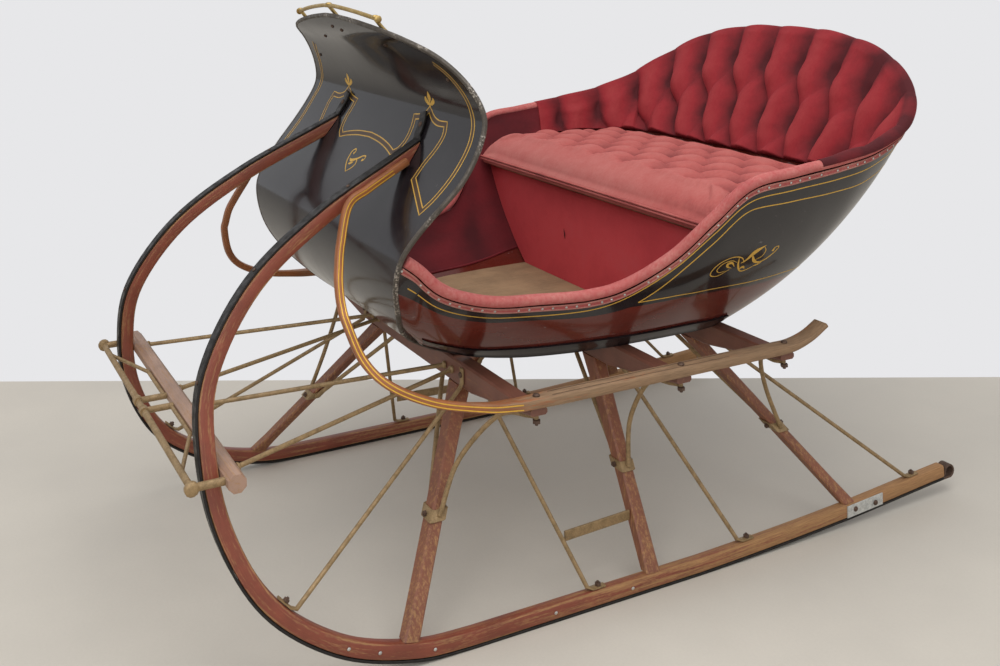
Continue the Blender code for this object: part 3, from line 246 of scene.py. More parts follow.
class SleighColours(bpy.types.PropertyGroup):
    runner_red: colour("Runner paint", "#7b3d2b", "Red-brown paint of the runners")
    raw_wood: colour("Bare ash", "#b58a5a", "Wood where the paint has gone")
    knee_brown: colour("Knee paint", "#77452f", "Duller paint of the knees and the cross bar")
    bench_brown: colour("Bench paint", "#6b4335", "Brown paint of the benches")
    bar_pink: colour("Bar paint", "#987a68", "Faded paint of the cross bar")
    bow_amber: colour("Fender paint", "#8d5530", "Amber brown of the fender bows")
    iron_brown: colour("Iron", "#8f7652", "Bronze-brown rods and braces")
    shoe_black: colour("Shoe", "#2b2826", "Dark steel of the shoes")
    lacquer_black: colour("Black lacquer", "#141014", "Dash, sill and upper panels")
    lacquer_maroon: colour("Maroon lacquer", "#561c12", "Lower panels of the tub")
    gold: colour("Gold", "#d9ab47", "Striping and scrolls")
    # Velvet shadow is painted shade in the folds and pits of the back's velvet; on the lining it is
    # the dark end of a mottled tone
    velvet_deep: colour("Velvet shadow", "#430d13", "Deep side of the back's velvet")
    velvet_red: colour("Velvet", "#8a1c24", "Crowns of the back's velvet")
    velvet_rose: colour("Worn velvet", "#aa524d", "Rubbed pile of the cushion")
    riser_red: colour("Riser cloth", "#cc4449", "Smooth cloth under the seat")
    grey_wood: colour("Weathered ash", "#937a5d", "Bare fender rails")
    boards: colour("Boards", "#8f7355", "Dusty floor boards")
    brass: colour("Brass", "#b59a62", "Dash rail")
    zinc: colour("Plate", "#c9c9c2", "Mending plate and tack heads")
    concrete: colour("Floor", "#c3bcb0", "Studio floor")
    wall: colour("Backdrop", "#e7e7e9", "Studio wall")


def sizes():
    return bpy.context.scene.sleigh_sizes


def colours():
    return bpy.context.scene.sleigh_colours


# Curves and surfaces of the model

def place_on(side, vector):
    """A place or direction of the left side, on the left or mirrored to the right."""
    return Vector((vector[0] * side, vector[1], vector[2]))


def between(rows, t):
    """A share of the way from the second of four rows to the third, smoothly."""
    return tuple(
        0.5 * (2 * b + (c - a) * t + (2 * a - 5 * b + 4 * c - d) * t ** 2
               + (3 * b - a - 3 * c + d) * t ** 3)
        for a, b, c, d in zip(*rows))


def spline(points, steps):
    """A smooth curve through the points, with so many steps between neighbours."""
    first = [2 * a - b for a, b in zip(points[0], points[1])]
    last = [2 * a - b for a, b in zip(points[-1], points[-2])]
    padded = [first, *points, last]
    out = [between(padded[i:i + 4], k / steps)
           for i in range(len(points) - 1) for k in range(steps)]
    return [*out, tuple(points[-1])]


def along(table, position):
    """A row of a table read at a fractional position, smooth from row to row."""
    last = len(table) - 1
    position = min(max(position, 0.0), float(last))
    i = min(int(position), last - 1)
    return between([table[min(max(n, 0), last)] for n in range(i - 1, i + 3)], position - i)


def search(low, high, holds, turns):
    """Two numbers closed in on the place between them where holds() stops to be true."""
    for _ in range(turns):
        middle = (low + high) / 2
        low, high = (middle, high) if holds(middle) else (low, middle)
    return low, high


def read(line, key):
    """The second column of a line of pairs, where the first has a given value."""
    for a, b in zip(line, line[1:]):
        if key <= b[0]:
            t = min(max((key - a[0]) / (b[0] - a[0]), 0.0), 1.0)
            return a[1] + (b[1] - a[1]) * t
    return line[-1][1]


def smooth(t):
    t = min(max(t, 0.0), 1.0)
    return t * t * (3 - 2 * t)


def wall_form(station, share):
    """A tub wall as its stations give it, flared and swelling between its edges."""
    ox, oy, oz, ix, iy, iz, swell = along(WALL_SHARES, station)
    top = Vector((ox * BODY_HALF_WIDTH, oy * BODY_REAR_Y, oz * BODY_TOP_REAR))
    low = Vector((ix * BODY_HALF_WIDTH, iy * BODY_REAR_Y, iz * BODY_TOP_REAR))
    out_x, out_y, rise = top.x - low.x, top.y - low.y, top.z - low.z
    flat = math.hypot(out_x, out_y)
    normal = Vector((out_x / flat * rise, out_y / flat * rise, -flat)).normalized()
    return low.lerp(top, share) + normal * (swell * BODY_HALF_WIDTH * 4 * share * (1 - share))


def wall_surface(station, share):
    """The outer face of a tub wall, drawn to the dash at its first stations."""
    point = wall_form(station, share)
    if station < 0.5:
        point += (front_edge(share) - wall_form(0.0, share)) * (1 - smooth(2 * station))
    return point


def front_edge(share):
    """The wall's front edge, along the rear face of the dash near its edge."""
    low, high = WALL_SHARES[0][5] * BODY_TOP_REAR, WALL_SHARES[0][2] * BODY_TOP_REAR
    z = low + (high - low) * share
    front, half, thick = dash_at(z)
    return Vector((half - WALL / 4, front + thick + DASH_CLEARANCE * 1.6, z))


def wall(station, share, depth=0.0, side=1.0):
    """A point inward of the wall's outer face, and the face's outward normal."""
    step = 0.02
    along_wall = (wall_surface(min(station + step, WALL_STATIONS), share)
                  - wall_surface(max(station - step, 0.0), share))
    up_wall = (wall_surface(station, min(share + step, 1.0))
               - wall_surface(station, max(share - step, 0.0)))
    normal = along_wall.cross(up_wall)
    if station >= WALL_STATIONS - step:
        normal.x = 0.0
    normal.normalize()
    point = wall_surface(station, share) - normal * depth
    return place_on(side, point), place_on(side, normal)


def round_wall(place):
    """Station and side for a place counted from the left dash edge round to the right one."""
    if place <= WALL_STATIONS:
        return place, 1.0
    return 2 * WALL_STATIONS - place, -1.0


def wall_round(place, share, depth=0.0):
    """The wall's point and normal at such a place."""
    station, side = round_wall(place)
    return wall(station, share, depth, side)


def dash_profile():
    """Front face, height and half width of the dash, evened out between its table's rows."""
    rise = DASH_HEIGHT - DASH_BASE
    rows = [(DASH_BELLY_Y + back * DASH_DEPTH, DASH_BASE + up * rise, out * DASH_HALF_WIDTH)
            for up, back, out in spline(DASH_SHARES, 6)]
    for _ in range(24):
        inner = [tuple((u + 2 * v + w) / 4 for u, v, w in zip(*three))
                 for three in zip(rows, rows[1:], rows[2:])]
        rows = [rows[0], *inner, rows[-1]]
    return rows


DASH_ROWS = dash_profile()


def dash_at(height):
    """Front face, half width and thickness along Y of the dash at a height."""
    for a, b in zip(DASH_ROWS, DASH_ROWS[1:]):
        if a[1] <= height <= b[1]:
            t = (height - a[1]) / (b[1] - a[1])
            slope = (b[0] - a[0]) / (b[1] - a[1])
            thick = DASH_THICKNESS * math.hypot(1, slope)
            return a[0] + (b[0] - a[0]) * t, a[2] + (b[2] - a[2]) * t, thick
    end = DASH_ROWS[0 if height < DASH_ROWS[0][1] else -1]
    return end[0], end[2], DASH_THICKNESS


def dash_face(x, height, lift=0.0):
    """A point on the dash's front and the normal there, which looks ahead."""
    step = 3 * MM
    slope = dash_at(height + step)[0] - dash_at(height - step)[0]
    normal = Vector((0.0, -2 * step, slope)).normalized()
    return Vector((x, dash_at(height)[0], height)) + normal * lift, normal


def dash_top(x):
    """Front and height of the dash's arched top edge, so far out."""
    for a, b in zip(DASH_ROWS, DASH_ROWS[1:]):
        if a[2] >= abs(x) >= b[2] and a[1] > DASH_HEIGHT * 0.8:
            t = (a[2] - abs(x)) / (a[2] - b[2])
            return a[0] + (b[0] - a[0]) * t, a[1] + (b[1] - a[1]) * t
    return DASH_ROWS[-1][:2]


def runner_base():
    return SHOE_THICKNESS + GAP + RUNNER_DEPTH / 2


def runner_x(height):
    return TRACK / 2 - RUNNER_LEAN * (height - runner_base())


def runner_path(steps=8):
    points = []
    for back, up in spline(RUNNER_SHARES, steps):
        height = runner_base() + max(up, 0.0) * RUNNER_RISE
        points.append((runner_x(height), back * RUNNER_LENGTH - RUNNER_LEAD, height))
    return points


def runner_at(y):
    """Centre of the runner where it passes a station behind its front curve."""
    path = [p for p in runner_path() if p[2] < RUNNER_RISE / 3]
    for a, b in zip(path, path[1:]):
        if a[1] <= y <= b[1]:
            return Vector(a).lerp(Vector(b), (y - a[1]) / (b[1] - a[1]))
    return Vector(path[-1])


# Building meshes

def heading_at(points, i):
    """The way a line of points runs at one of them."""
    ahead, behind = points[min(i + 1, len(points) - 1)], points[max(i - 1, 0)]
    return (Vector(ahead) - Vector(behind)).normalized()


def frames(path, across):
    """Point, tangent, side and normal along a path."""
    out = []
    for i, point in enumerate(path):
        tangent = heading_at(path, i)
        side = (across - tangent * across.dot(tangent)).normalized()
        out.append((Vector(point), tangent, side, tangent.cross(side)))
    return out


def section(width, depth, corner, rounds=1):
    """A rectangle with rounded corners, across and up."""
    out = []
    for cx, cy, start in ((1, 1, 0), (-1, 1, 90), (-1, -1, 180), (1, -1, 270)):
        for k in range(rounds + 1):
            angle = math.radians(start + 90 * k / rounds)
            out.append((cx * (width / 2 - corner) + corner * math.cos(angle),
                        cy * (depth / 2 - corner) + corner * math.sin(angle)))
    return tuple(out)


def circle(radius, sides=12, first=0.5):
    """Points of a round section, the first so many steps past the side."""
    angles = [(k + first) * 2 * math.pi / sides for k in range(sides)]
    return tuple((radius * math.cos(angle), radius * math.sin(angle)) for angle in angles)


def put(name, bm, look, crease=35.0):
    """Makes a piece of a bmesh in a finish, shaded, moved on to the model and riding on it."""
    bmesh.ops.recalc_face_normals(bm, faces=bm.faces)
    bmesh.ops.translate(bm, vec=(0.0, settled(), 0.0), verts=bm.verts)
    mesh = bpy.data.meshes.new(name)
    bm.to_mesh(mesh)
    bm.free()
    mesh.shade_smooth()
    mesh.set_sharp_from_angle(angle=math.radians(crease))
    mesh.materials.append(MATS[look])
    piece = bpy.data.objects.new(name, mesh)
    bpy.context.scene.collection.objects.link(piece)
    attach(piece, "root")
    return piece


def settled():
    """How far back of the feet of the front knees the model's own middle is."""
    low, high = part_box("bench_middle")
    return (low[1] + high[1]) / 2 - BENCH_Y["middle"]


def distances(points):
    """How far along a line of points each one is."""
    out = [0.0]
    for a, b in zip(points, points[1:]):
        out.append(out[-1] + (Vector(b) - Vector(a)).length)
    return out


def loft(name, rings, look, closed=False, crease=35.0, crown=None, edges=False):
    """A solid through rings of equal length. Its UV map is metres along and around.
    With edges, the middle point of each corner of three is marked for wear."""
    bm = bmesh.new()
    uv = bm.loops.layers.uv.new("metres")
    soft = bm.verts.layers.float.new("crown") if crown is not None else None
    worn = bm.verts.layers.float.new("edge") if edges else None
    loops = [[bm.verts.new(p) for p in ring] for ring in rings]
    for loop in loops:
        for i, vert in enumerate(loop):
            if soft:
                vert[soft] = crown + 0.3 * noise.noise(vert.co * 14)
            if worn and i % 3 == 1:
                vert[worn] = 1.0
    far = distances([sum((Vector(p) for p in ring), Vector()) / len(ring) for ring in rings])
    count = len(rings[0])
    around = distances(list(rings[len(rings) // 2]) + [rings[len(rings) // 2][0]])
    pairs = [(i, i + 1) for i in range(len(rings) - 1)]
    if closed:
        pairs.append((len(rings) - 1, 0))
    for a, b in pairs:
        end = far[b] if b > a else far[a] + (far[1] - far[0])
        for i in range(count):
            j = (i + 1) % count
            face = bm.faces.new((loops[a][i], loops[a][j], loops[b][j], loops[b][i]))
            for loop, place in zip(face.loops, ((far[a], around[i]), (far[a], around[i + 1]),
                                                (end, around[i + 1]), (end, around[i]))):
                loop[uv].uv = place
    if not closed:
        for ring in (loops[0], loops[-1]):
            face = bm.faces.new(ring)
            for loop in face.loops:
                loop[uv].uv = (loop.vert.co.x, loop.vert.co.z)
    return put(name, bm, look, crease)


def shell(name, outer, inner, look, crease=35.0, uvs=None, crown=None):
    """A solid between two grids of points. Its UV map is metres, or the grid given."""
    bm = bmesh.new()
    uv = bm.loops.layers.uv.new("metres")
    layer = bm.verts.layers.float.new("crown") if crown else None
    grids = [[[bm.verts.new(p) for p in row] for row in grid] for grid in (outer, inner)]
    rows, cols = len(outer), len(outer[0])
    if uvs is None:
        across = distances(outer[rows // 2])
        up = distances([row[cols // 2] for row in outer])
        uvs = [[(across[j], up[i]) for j in range(cols)] for i in range(rows)]
    for i, j in product(range(rows), range(cols)) if crown else ():
        grids[0][i][j][layer] = crown[i][j]

    def face(corners):
        made = bm.faces.new([grids[g][i][j] for g, i, j in corners])
        for loop, (_, i, j) in zip(made.loops, corners):
            loop[uv].uv = uvs[i][j]

    for g, i, j in product((0, 1), range(rows - 1), range(cols - 1)):
        face(((g, i, j), (g, i + 1, j), (g, i + 1, j + 1), (g, i, j + 1)))
    rim = [(i, 0) for i in range(rows)] + [(rows - 1, j) for j in range(1, cols)]
    rim += [(i, cols - 1) for i in reversed(range(rows - 1))]
    rim += [(0, j) for j in reversed(range(1, cols - 1))]
    for a, b in zip(rim, rim[1:] + rim[:1]):
        face(((0, *a), (0, *b), (1, *b), (1, *a)))
    return put(name, bm, look, crease)


def sweep(name, path, sections, look, across=X_AXIS, crease=35.0, crown=None, edges=False):
    """A solid whose section, one for all or one for each point, follows a path."""
    if not isinstance(sections, list):
        sections = [sections] * len(path)
    rings = []
    for (point, _, side, up), shape in zip(frames(path, across), sections):
        rings.append([point + side * u + up * v for u, v in shape])
    return loft(name, rings, look, crease=crease, crown=crown, edges=edges)


def mirrored(points, side):
    return [(p[0] * side, p[1], p[2]) for p in points]


def select(*pieces):
    bpy.ops.object.select_all(action="DESELECT")
    for piece in pieces:
        piece.select_set(True)
    bpy.context.view_layer.objects.active = pieces[0]


def merge(name, pieces, *nodes):
    """Joins pieces into one that stands for the nodes named."""
    select(*pieces)
    if len(pieces) > 1:
        bpy.ops.object.join()
    piece = bpy.context.view_layer.objects.active
    piece.name = name
    piece.data.name = name
    if nodes:
        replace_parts(piece, *nodes)
    return piece


PAINT_LIFT = 0.25 * MM   # of a painted line off its surface


def stroke(name, points, normals, widths, look):
    """A painted line on a surface: a thin ribbon, as wide all along or at each point as told."""
    if not isinstance(widths, list):
        widths = [widths] * len(points)
    rings = []
    for i, (point, normal, width) in enumerate(zip(points, normals, widths)):
        across = normal.cross(heading_at(points, i)).normalized() * max(width, 0.2 * MM) / 2
        up = normal * PAINT_LIFT
        rings.append([point + across + up, point - across + up,
                      point - across - up, point + across - up])
    return loft(name, rings, look)


# Rise of each step of a fastener's head, and how wide it ends, in shares of its radius
HEADS = {"dome": ((0.30, 1.0), (0.25, 0.80), (0.12, 0.5)),
         "nut": ((0.75, 1.0), (0.08, 0.88), (0.0, 0.5), (0.45, 0.45))}


def bolt(name, place, out, look, radius, kind="dome"):
    """A fastener's head, built up from a disc: a low dome, or a nut on its bolt's end."""
    bpy.ops.object.select_all(action="DESELECT")
    sides = 6 if kind == "nut" else 12
    bpy.ops.mesh.primitive_circle_add(vertices=sides, radius=radius, fill_type="NGON")
    piece = bpy.context.active_object
    bpy.ops.object.mode_set(mode="EDIT")
    bpy.ops.mesh.select_all(action="SELECT")
    width = 1.0
    for rise, share in HEADS[kind]:
        bpy.ops.mesh.extrude_region_move(
            TRANSFORM_OT_translate={"value": (0.0, 0.0, rise * radius)})
        bpy.ops.transform.resize(value=(share / width, share / width, 1.0),
                                 center_override=(0.0, 0.0, 0.0))
        width = share
    bpy.ops.object.mode_set(mode="OBJECT")
    turn = Vector(out).normalized().to_track_quat("Z", "Y").to_matrix().to_4x4()
    piece.data.transform(Matrix.Translation(Vector(place) + Y_AXIS * settled()) @ turn)
    bm = bmesh.new()
    bm.from_mesh(piece.data)
    bmesh.ops.recalc_face_normals(bm, faces=bm.faces)
    bm.to_mesh(piece.data)
    bm.free()
    piece.data.shade_smooth()
    piece.data.set_sharp_from_angle(angle=math.radians(30))
    piece.data.materials.append(MATS[look])
    piece.name = name
    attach(piece, "root")
    return piece


# Materials

ALONG = (0.05, 1.0, 1.0)   # drawn out along a piece's length


def node(tree, kind, inputs=None, out=0, stops=(), **settings):
    """Adds a node with its settings, values and links, and gives the socket read from it."""
    made = tree.nodes.new("ShaderNode" + kind)
    for key, value in settings.items():
        setattr(made, key, value)
    for key, value in (inputs or {}).items():
        socket = made.inputs[key]
        if isinstance(value, bpy.types.NodeSocket):
            tree.links.new(value, socket)
        elif socket.type == "RGBA":
            socket.default_value = (*value[:3], 1.0)
        else:
            socket.default_value = value
    for number, (place, tint) in enumerate(stops):
        elements = made.color_ramp.elements
        element = elements[number] if number < len(elements) else elements.new(place)
        element.position, element.color = place, (*tint[:3], 1.0)
    return made.outputs[out] if made.outputs else made


def begin(name, **sockets):
    """A new material, its nodes and the place that patterns go by, its shader's sockets set."""
    mat = bpy.data.materials.new(name)
    mat.use_nodes = True
    shader = mat.node_tree.nodes["Principled BSDF"]
    for key, value in sockets.items():
        socket = shader.inputs[key.replace("_", " ")]
        socket.default_value = (*value[:3], 1.0) if socket.type == "RGBA" else value
    return mat, mat.node_tree, node(mat.node_tree, "TexCoord", out="Object")


def finish(mat, **sockets):
    """Links what was drawn into the shader's sockets of those names."""
    shader = mat.node_tree.nodes["Principled BSDF"]
    for key, socket in sockets.items():
        mat.node_tree.links.new(socket, shader.inputs[key.replace("_", " ")])
    return mat


def pattern(tree, place, mm, detail=3.0, low=0.35, high=0.65, stretch=(1.0, 1.0, 1.0)):
    """Marks so many millimetres wide, drawn out along axes, with their contrast raised."""
    scaled = node(tree, "Mapping", {"Vector": place, "Scale": stretch})
    marks = node(tree, "TexNoise", {"Vector": scaled, "Scale": 1 / (mm * MM), "Detail": detail,
                                    "Roughness": 0.6}, out="Fac")
    return node(tree, "MapRange", {"Value": marks, "From Min": low, "From Max": high})


def total(tree, start, *terms):
    """Adds sockets to a start, each times its share."""
    for socket, share in terms:
        start = node(tree, "Math", {0: socket, 1: share, 2: start}, operation="MULTIPLY_ADD")
    return start


def lay(tree, tone, over, mask, share=1.0):
    """Lays a colour over another where a mask is, up to a share of it."""
    part = total(tree, 0.0, (mask, share))
    return node(tree, "Mix", {0: part, 6: tone, 7: over}, out=2, data_type="RGBA")


def toned(tint, share):
    return [min(c * share, 1.0) for c in tint]


def painted_wood(name, paint, bare, wear, gloss=0.5, grain=ALONG, own_uv=False, low_wear=0.0,
                 rear_wear=0.0, rear_span=(-0.45, 0.75), edge_wear=0.0):
    """Oil paint on ash: streaked along the grain, rubbed through on the corners and low down."""
    mat, tree, place = begin(name, Roughness=gloss, IOR=1.5)
    vector = node(tree, "TexCoord", out="UV") if own_uv else place
    lines = pattern(tree, vector, 2.0, 5.0, 0.3, 0.7, grain)
    tone = lay(tree, paint, toned(paint, 0.5), lines, 0.5)
    tone = lay(tree, tone, toned(paint, 1.6), pattern(tree, place, 70, 4.0), 0.4)
    streaks = pattern(tree, vector, 6, 6.0, 0.0, 1.0, grain)
    flecks = pattern(tree, vector, 2.2, 4.0, 0.0, 1.0, [max(c, 0.2) for c in grain])
    axes = node(tree, "SeparateXYZ", {0: place}).node.outputs
    low = node(tree, "MapRange", {"Value": axes[2], "From Min": 0.02, "From Max": 0.30,
                                  "To Min": low_wear, "To Max": 0.0})
    rear = node(tree, "MapRange", {"Value": axes[1], "From Min": rear_span[0],
                                   "From Max": rear_span[1], "To Min": 0.0, "To Max": rear_wear})
    edge = node(tree, "Attribute", out="Fac", attribute_name="edge")
    rub = total(tree, wear - 1.0, (streaks, 0.65), (flecks, 0.35), (rear, 1.0), (low, 1.0),
                (edge, edge_wear))
    rub = node(tree, "MapRange", {"Value": rub, "From Min": 0.0, "From Max": 0.15})
    tone = lay(tree, tone, lay(tree, bare, toned(bare, 0.55), lines), rub, 0.85)
    rough = node(tree, "MapRange", {"Value": rub, "To Min": gloss, "To Max": 0.8})
    sunk = node(tree, "Math", {0: total(tree, 0.0, (lines, 0.4)), 1: rub}, operation="SUBTRACT")
    raised = node(tree, "Bump", {"Height": sunk, "Strength": 0.6, "Distance": 0.3 * MM})
    return finish(mat, Base_Color=tone, Roughness=rough, Normal=raised)


def painted_iron(name, tint, metallic=0.35, rough=0.5, chipped=None):
    """Iron under thin paint: brown, with rust and bright rubbed spots, or chipped bare."""
    mat, tree, place = begin(name, Roughness=rough, Metallic=metallic)
    spots = pattern(tree, place, 16, 6.0)
    fine = pattern(tree, place, 3, 4.0, 0.3, 0.7)
    tone = lay(tree, tint, toned(tint, 0.42), spots, 0.7)
    tone = lay(tree, tone, toned(tint, 1.9), fine, 0.35)
    if chipped:
        patches = pattern(tree, place, 110, 3.0, 0.50, 0.62)
        chips = total(tree, 0.0, (pattern(tree, place, 5, 5.0, 0.50, 0.60), patches))
        tone = lay(tree, tone, chipped, chips, 0.8)
    gloss = node(tree, "MapRange", {"Value": spots, "To Min": rough - 0.1, "To Max": rough + 0.25})
    raised = node(tree, "Bump", {"Height": fine, "Strength": 0.5, "Distance": 0.2 * MM})
    return finish(mat, Base_Color=tone, Roughness=gloss, Normal=raised)


def lacquer(name, upper, lower=None, specular=0.4, coat=0.3):
    """Coach varnish over black: deep, glossy and a little dusty, with fine scratches.
    Where a second colour is given, the attribute crown parts the two."""
    mat, tree, place = begin(name, Roughness=0.16, IOR=1.5, Specular_IOR_Level=specular,
                         Coat_Weight=coat, Coat_Roughness=0.06)
    dust = pattern(tree, place, 90, 6.0, 0.35, 0.75)
    fine = pattern(tree, place, 4, 5.0, 0.45, 0.85)
    tone = upper
    if lower:
        height = node(tree, "Attribute", out="Fac", attribute_name="crown")
        black = node(tree, "Math", {0: height, 1: 0.0}, operation="GREATER_THAN")
        worn = pattern(tree, place, 25, 6.0, 0.3, 0.75, (1.0, 0.3, 1.0))
        tone = lay(tree, lay(tree, lower, toned(lower, 1.8), worn, 0.5), upper, black)
    scuffs = pattern(tree, place, 5, 3.0, 0.70, 0.78, (1.0, 0.25, 0.12))
    for tint, mask, share in (("#8f8b8c", dust, 0.035), ("#b5aea4", fine, 0.03),
                              ("#8d8684", scuffs, 0.35)):
        tone = lay(tree, tone, linear(tint), mask, share)
    rough = node(tree, "MapRange", {"Value": dust, "To Min": 0.13, "To Max": 0.26})
    height = total(tree, pattern(tree, place, 30, 2.0, 0.2, 0.8), (fine, 0.10))
    raised = node(tree, "Bump", {"Height": height, "Strength": 0.30, "Distance": 0.15 * MM})
    return finish(mat, Base_Color=tone, Roughness=rough, Normal=raised)


def gold_paint(name, tint):
    """Gold size striping: warm, half metallic, thin in places."""
    mat, tree, place = begin(name, Roughness=0.42, Metallic=0.35)
    thin = pattern(tree, place, 12, 6.0, 0.45, 0.75)
    return finish(mat, Base_Color=lay(tree, tint, toned(tint, 0.5), thin, 0.45))


def velvet(name, deep, crest, rubbed, rub=0.35, pile_mm=1.6, sheen=0.45, lit=0.5):
    """Mohair plush, toned by the crown attribute: painted shade in its folds and pits, a painted
    highlight on its crowns, rubbed pile brighter on the crowns, and brushed patches that vary its
    tone.
    """
    deep, crest, rubbed = (linear(tint) if isinstance(tint, str) else tint
                           for tint in (deep, crest, rubbed))
    mat, tree, place = begin(name, Roughness=0.85, Sheen_Weight=sheen, Sheen_Roughness=0.35,
                         Sheen_Tint=toned(crest, 2.2), IOR=1.4)
    crown = node(tree, "Attribute", out="Fac", attribute_name="crown")
    brushed = pattern(tree, place, 45, 5.0, 0.3, 0.7, (1.0, 0.5, 1.0))
    pile = pattern(tree, place, pile_mm, 3.0, 0.25, 0.75)
    streak = pattern(tree, place, 5, 5.0, 0.30, 0.80, (1.0, 0.6, 0.5))
    # crown carries painted shade and painted highlight, so this ramp darkens folds and pits and
    # lightens crowns
    level = total(tree, -0.10, (brushed, 0.26), (crown, 0.80))
    bright = [a + (b - a) * lit for a, b in zip(crest, rubbed)]
    tone = node(tree, "ValToRGB", {0: level}, stops=((0.0, deep), (0.55, crest), (1.0, bright)))
    tone = lay(tree, tone, rubbed, total(tree, 0.0, (crown, streak)), rub)
    tone = lay(tree, tone, toned(crest, 0.55), pile, 0.22)
    raised = node(tree, "Bump", {"Height": pile, "Strength": 0.5, "Distance": 0.35 * MM})
    return finish(mat, Base_Color=tone, Normal=raised)


def make_materials():
    c = colours()
    return {
        # Ash, steamed and bent: red-brown oil paint, gone down to honey wood on the wearing parts
        "runner": painted_wood("oil painted ash runner", c.runner_red, c.raw_wood, 0.475, 0.42,
                               own_uv=True, rear_wear=0.25, edge_wear=0.10),
        "knee": painted_wood("oil painted ash knee", c.knee_brown, c.raw_wood, 0.49,
                             grain=(1.0, 1.0, 0.05), low_wear=0.05),
        "bench": painted_wood("oil painted ash bench", c.bench_brown, c.raw_wood, 0.43),
        "fender": painted_wood("weathered ash fender rail", c.bow_amber, c.grey_wood, 0.43, 0.4,
                               own_uv=True, rear_wear=0.28, rear_span=(-0.45, -0.2),
                               edge_wear=0.05),
        "bar": painted_wood("oil painted ash bar", c.bar_pink, c.raw_wood, 0.48),
        # Sawn pine, never painted: dull, dusty and grey-brown
        "boards": painted_wood("bare pine boards", c.boards, linear("#b59a78"), 0.45, 0.85,
                               (1.0, 0.05, 1.0)),
        # Forged and cast metal: bronzed rods, dark worn shoes, rusty bolts, dull brass and zinc
        "iron": painted_iron("bronzed wrought iron", c.iron_brown, 0.25, 0.5),
        "steel": painted_iron("blackened runner steel", c.shoe_black, 0.6, 0.42),
        "bolt": painted_iron("iron bolt", linear("#5a463a"), 0.5, 0.5),
        "bead": painted_iron("chipped black edge bead", linear("#4c453d"), 0.3, 0.45,
                             linear("#c9bfb2")),
        "brass": painted_iron("aged brass", c.brass, 0.9, 0.35),
        "tack": painted_iron("tinned tack", c.zinc, 0.85, 0.35),
        "zinc": painted_iron("galvanised plate", c.zinc, 0.6, 0.5),
        # Brushed and rubbed coach colours: a deep gloss that mirrors the room, with lines on it
        "black": lacquer("black coach lacquer", c.lacquer_black, None, 0.25, 0.15),
        "tub": lacquer("black and maroon coach lacquer", c.lacquer_black, c.lacquer_maroon),
        "gold": gold_paint("gold striping paint", c.gold),
        "band": gold_paint("brown striping paint", linear("#4b3626")),
        "rail_line": gold_paint("yellow lining paint", linear("#e0b040")),
        # Woven pile: a painted highlight on the crowns, and painted shade, near black, in the folds
        "plush": velvet("crimson mohair plush", c.velvet_deep, c.velvet_red, "#a5403f", 0.3, 1.6,
                        0.3),
        "cushion": velvet("worn rose mohair plush", "#561a20", c.velvet_rose, "#c4857c", 0.35,
                          1.8, 0.4),
        "lining": velvet("dark mohair lining", c.velvet_deep, "#6b151d", "#8b4648", 0.2),
        "binding": velvet("worn velvet binding", "#93343a", "#b65855", "#d9ac9f", 0.6),
        "gimp": velvet("frayed gimp cord", "#7a3f3a", "#a8695f", "#cfa99a", 0.5, 1.2, 0.2),
        "riser": velvet("red wool cloth", "#b0333a", c.riser_red, "#c25a5c", 0.25, 1.2, 0.25),
        # The tear's opening: a near-black strip of painted shade
        "tear": velvet("shadowed wool cloth", "#1a0506", "#2a090b", "#2a090b", 0.0, 1.2, 0.0),
    }


MATS = {}


def paint(look, *nodes):
    """Gives CAD nodes that stay in sight one of the finishes."""
    for name in nodes:
        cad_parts[name].data.materials[0] = MATS[look]


# Stage

CAMERA_PLACE = (2.362, -0.843, 1.278)   # from the front knees' feet
CAMERA_AZIMUTH = math.radians(62.4)
CAMERA_PITCH = math.radians(0.71)
CAMERA_ROLL = math.radians(-0.63)
FOCAL_PIXELS = 1148.2
CENTRE_PIXELS = (474.8, -26.0)
PICTURE = (1000, 666)
WALL_FOOT = ((0, 381.5), (999, 377.0))   # pixels of the wall's foot at the picture's edges
# Square soft boxes: place, side, watts. Both look at one point
LAMPS = (("overhead", (0.9, -0.4, 3.4), 3.2, 66.0), ("front", (3.6, -2.8, 2.6), 2.4, 48.0))
LAMP_AIM = Vector((0.0, 0.1, 0.5))


def camera_axes():
    a, e, r = CAMERA_AZIMUTH, CAMERA_PITCH, CAMERA_ROLL
    ahead = Vector((-math.sin(a) * math.cos(e), math.cos(a) * math.cos(e), -math.sin(e)))
    right = Vector((math.cos(a), math.sin(a), 0.0))
    up = right.cross(ahead)
    return (right * math.cos(r) + up * math.sin(r), up * math.cos(r) - right * math.sin(r), ahead)


def make_camera():
    data = bpy.data.cameras.new("camera")
    camera = bpy.data.objects.new("camera", data)
    bpy.context.scene.collection.objects.link(camera)
    right, up, ahead = camera_axes()
    turn = Matrix((right, up, -ahead)).transposed().to_4x4()
    camera.matrix_world = Matrix.Translation(Vector(CAMERA_PLACE) + Y_AXIS * settled()) @ turn
    data.sensor_width = 36.0
    data.lens = FOCAL_PIXELS / PICTURE[0] * data.sensor_width
    data.shift_x = (PICTURE[0] / 2 - CENTRE_PIXELS[0]) / PICTURE[0]
    data.shift_y = (CENTRE_PIXELS[1] - PICTURE[1] / 2) / PICTURE[0]
    bpy.context.scene.camera = camera


def on_floor(px, py):
    """The point of the floor that is seen at a pixel."""
    right, up, ahead = camera_axes()
    across, down = ((p - c) / FOCAL_PIXELS for p, c in zip((px, py), CENTRE_PIXELS))
    ray = ahead + right * across - up * down
    eye = Vector(CAMERA_PLACE) + Y_AXIS * settled()
    return eye - ray * (eye.z / ray.z)


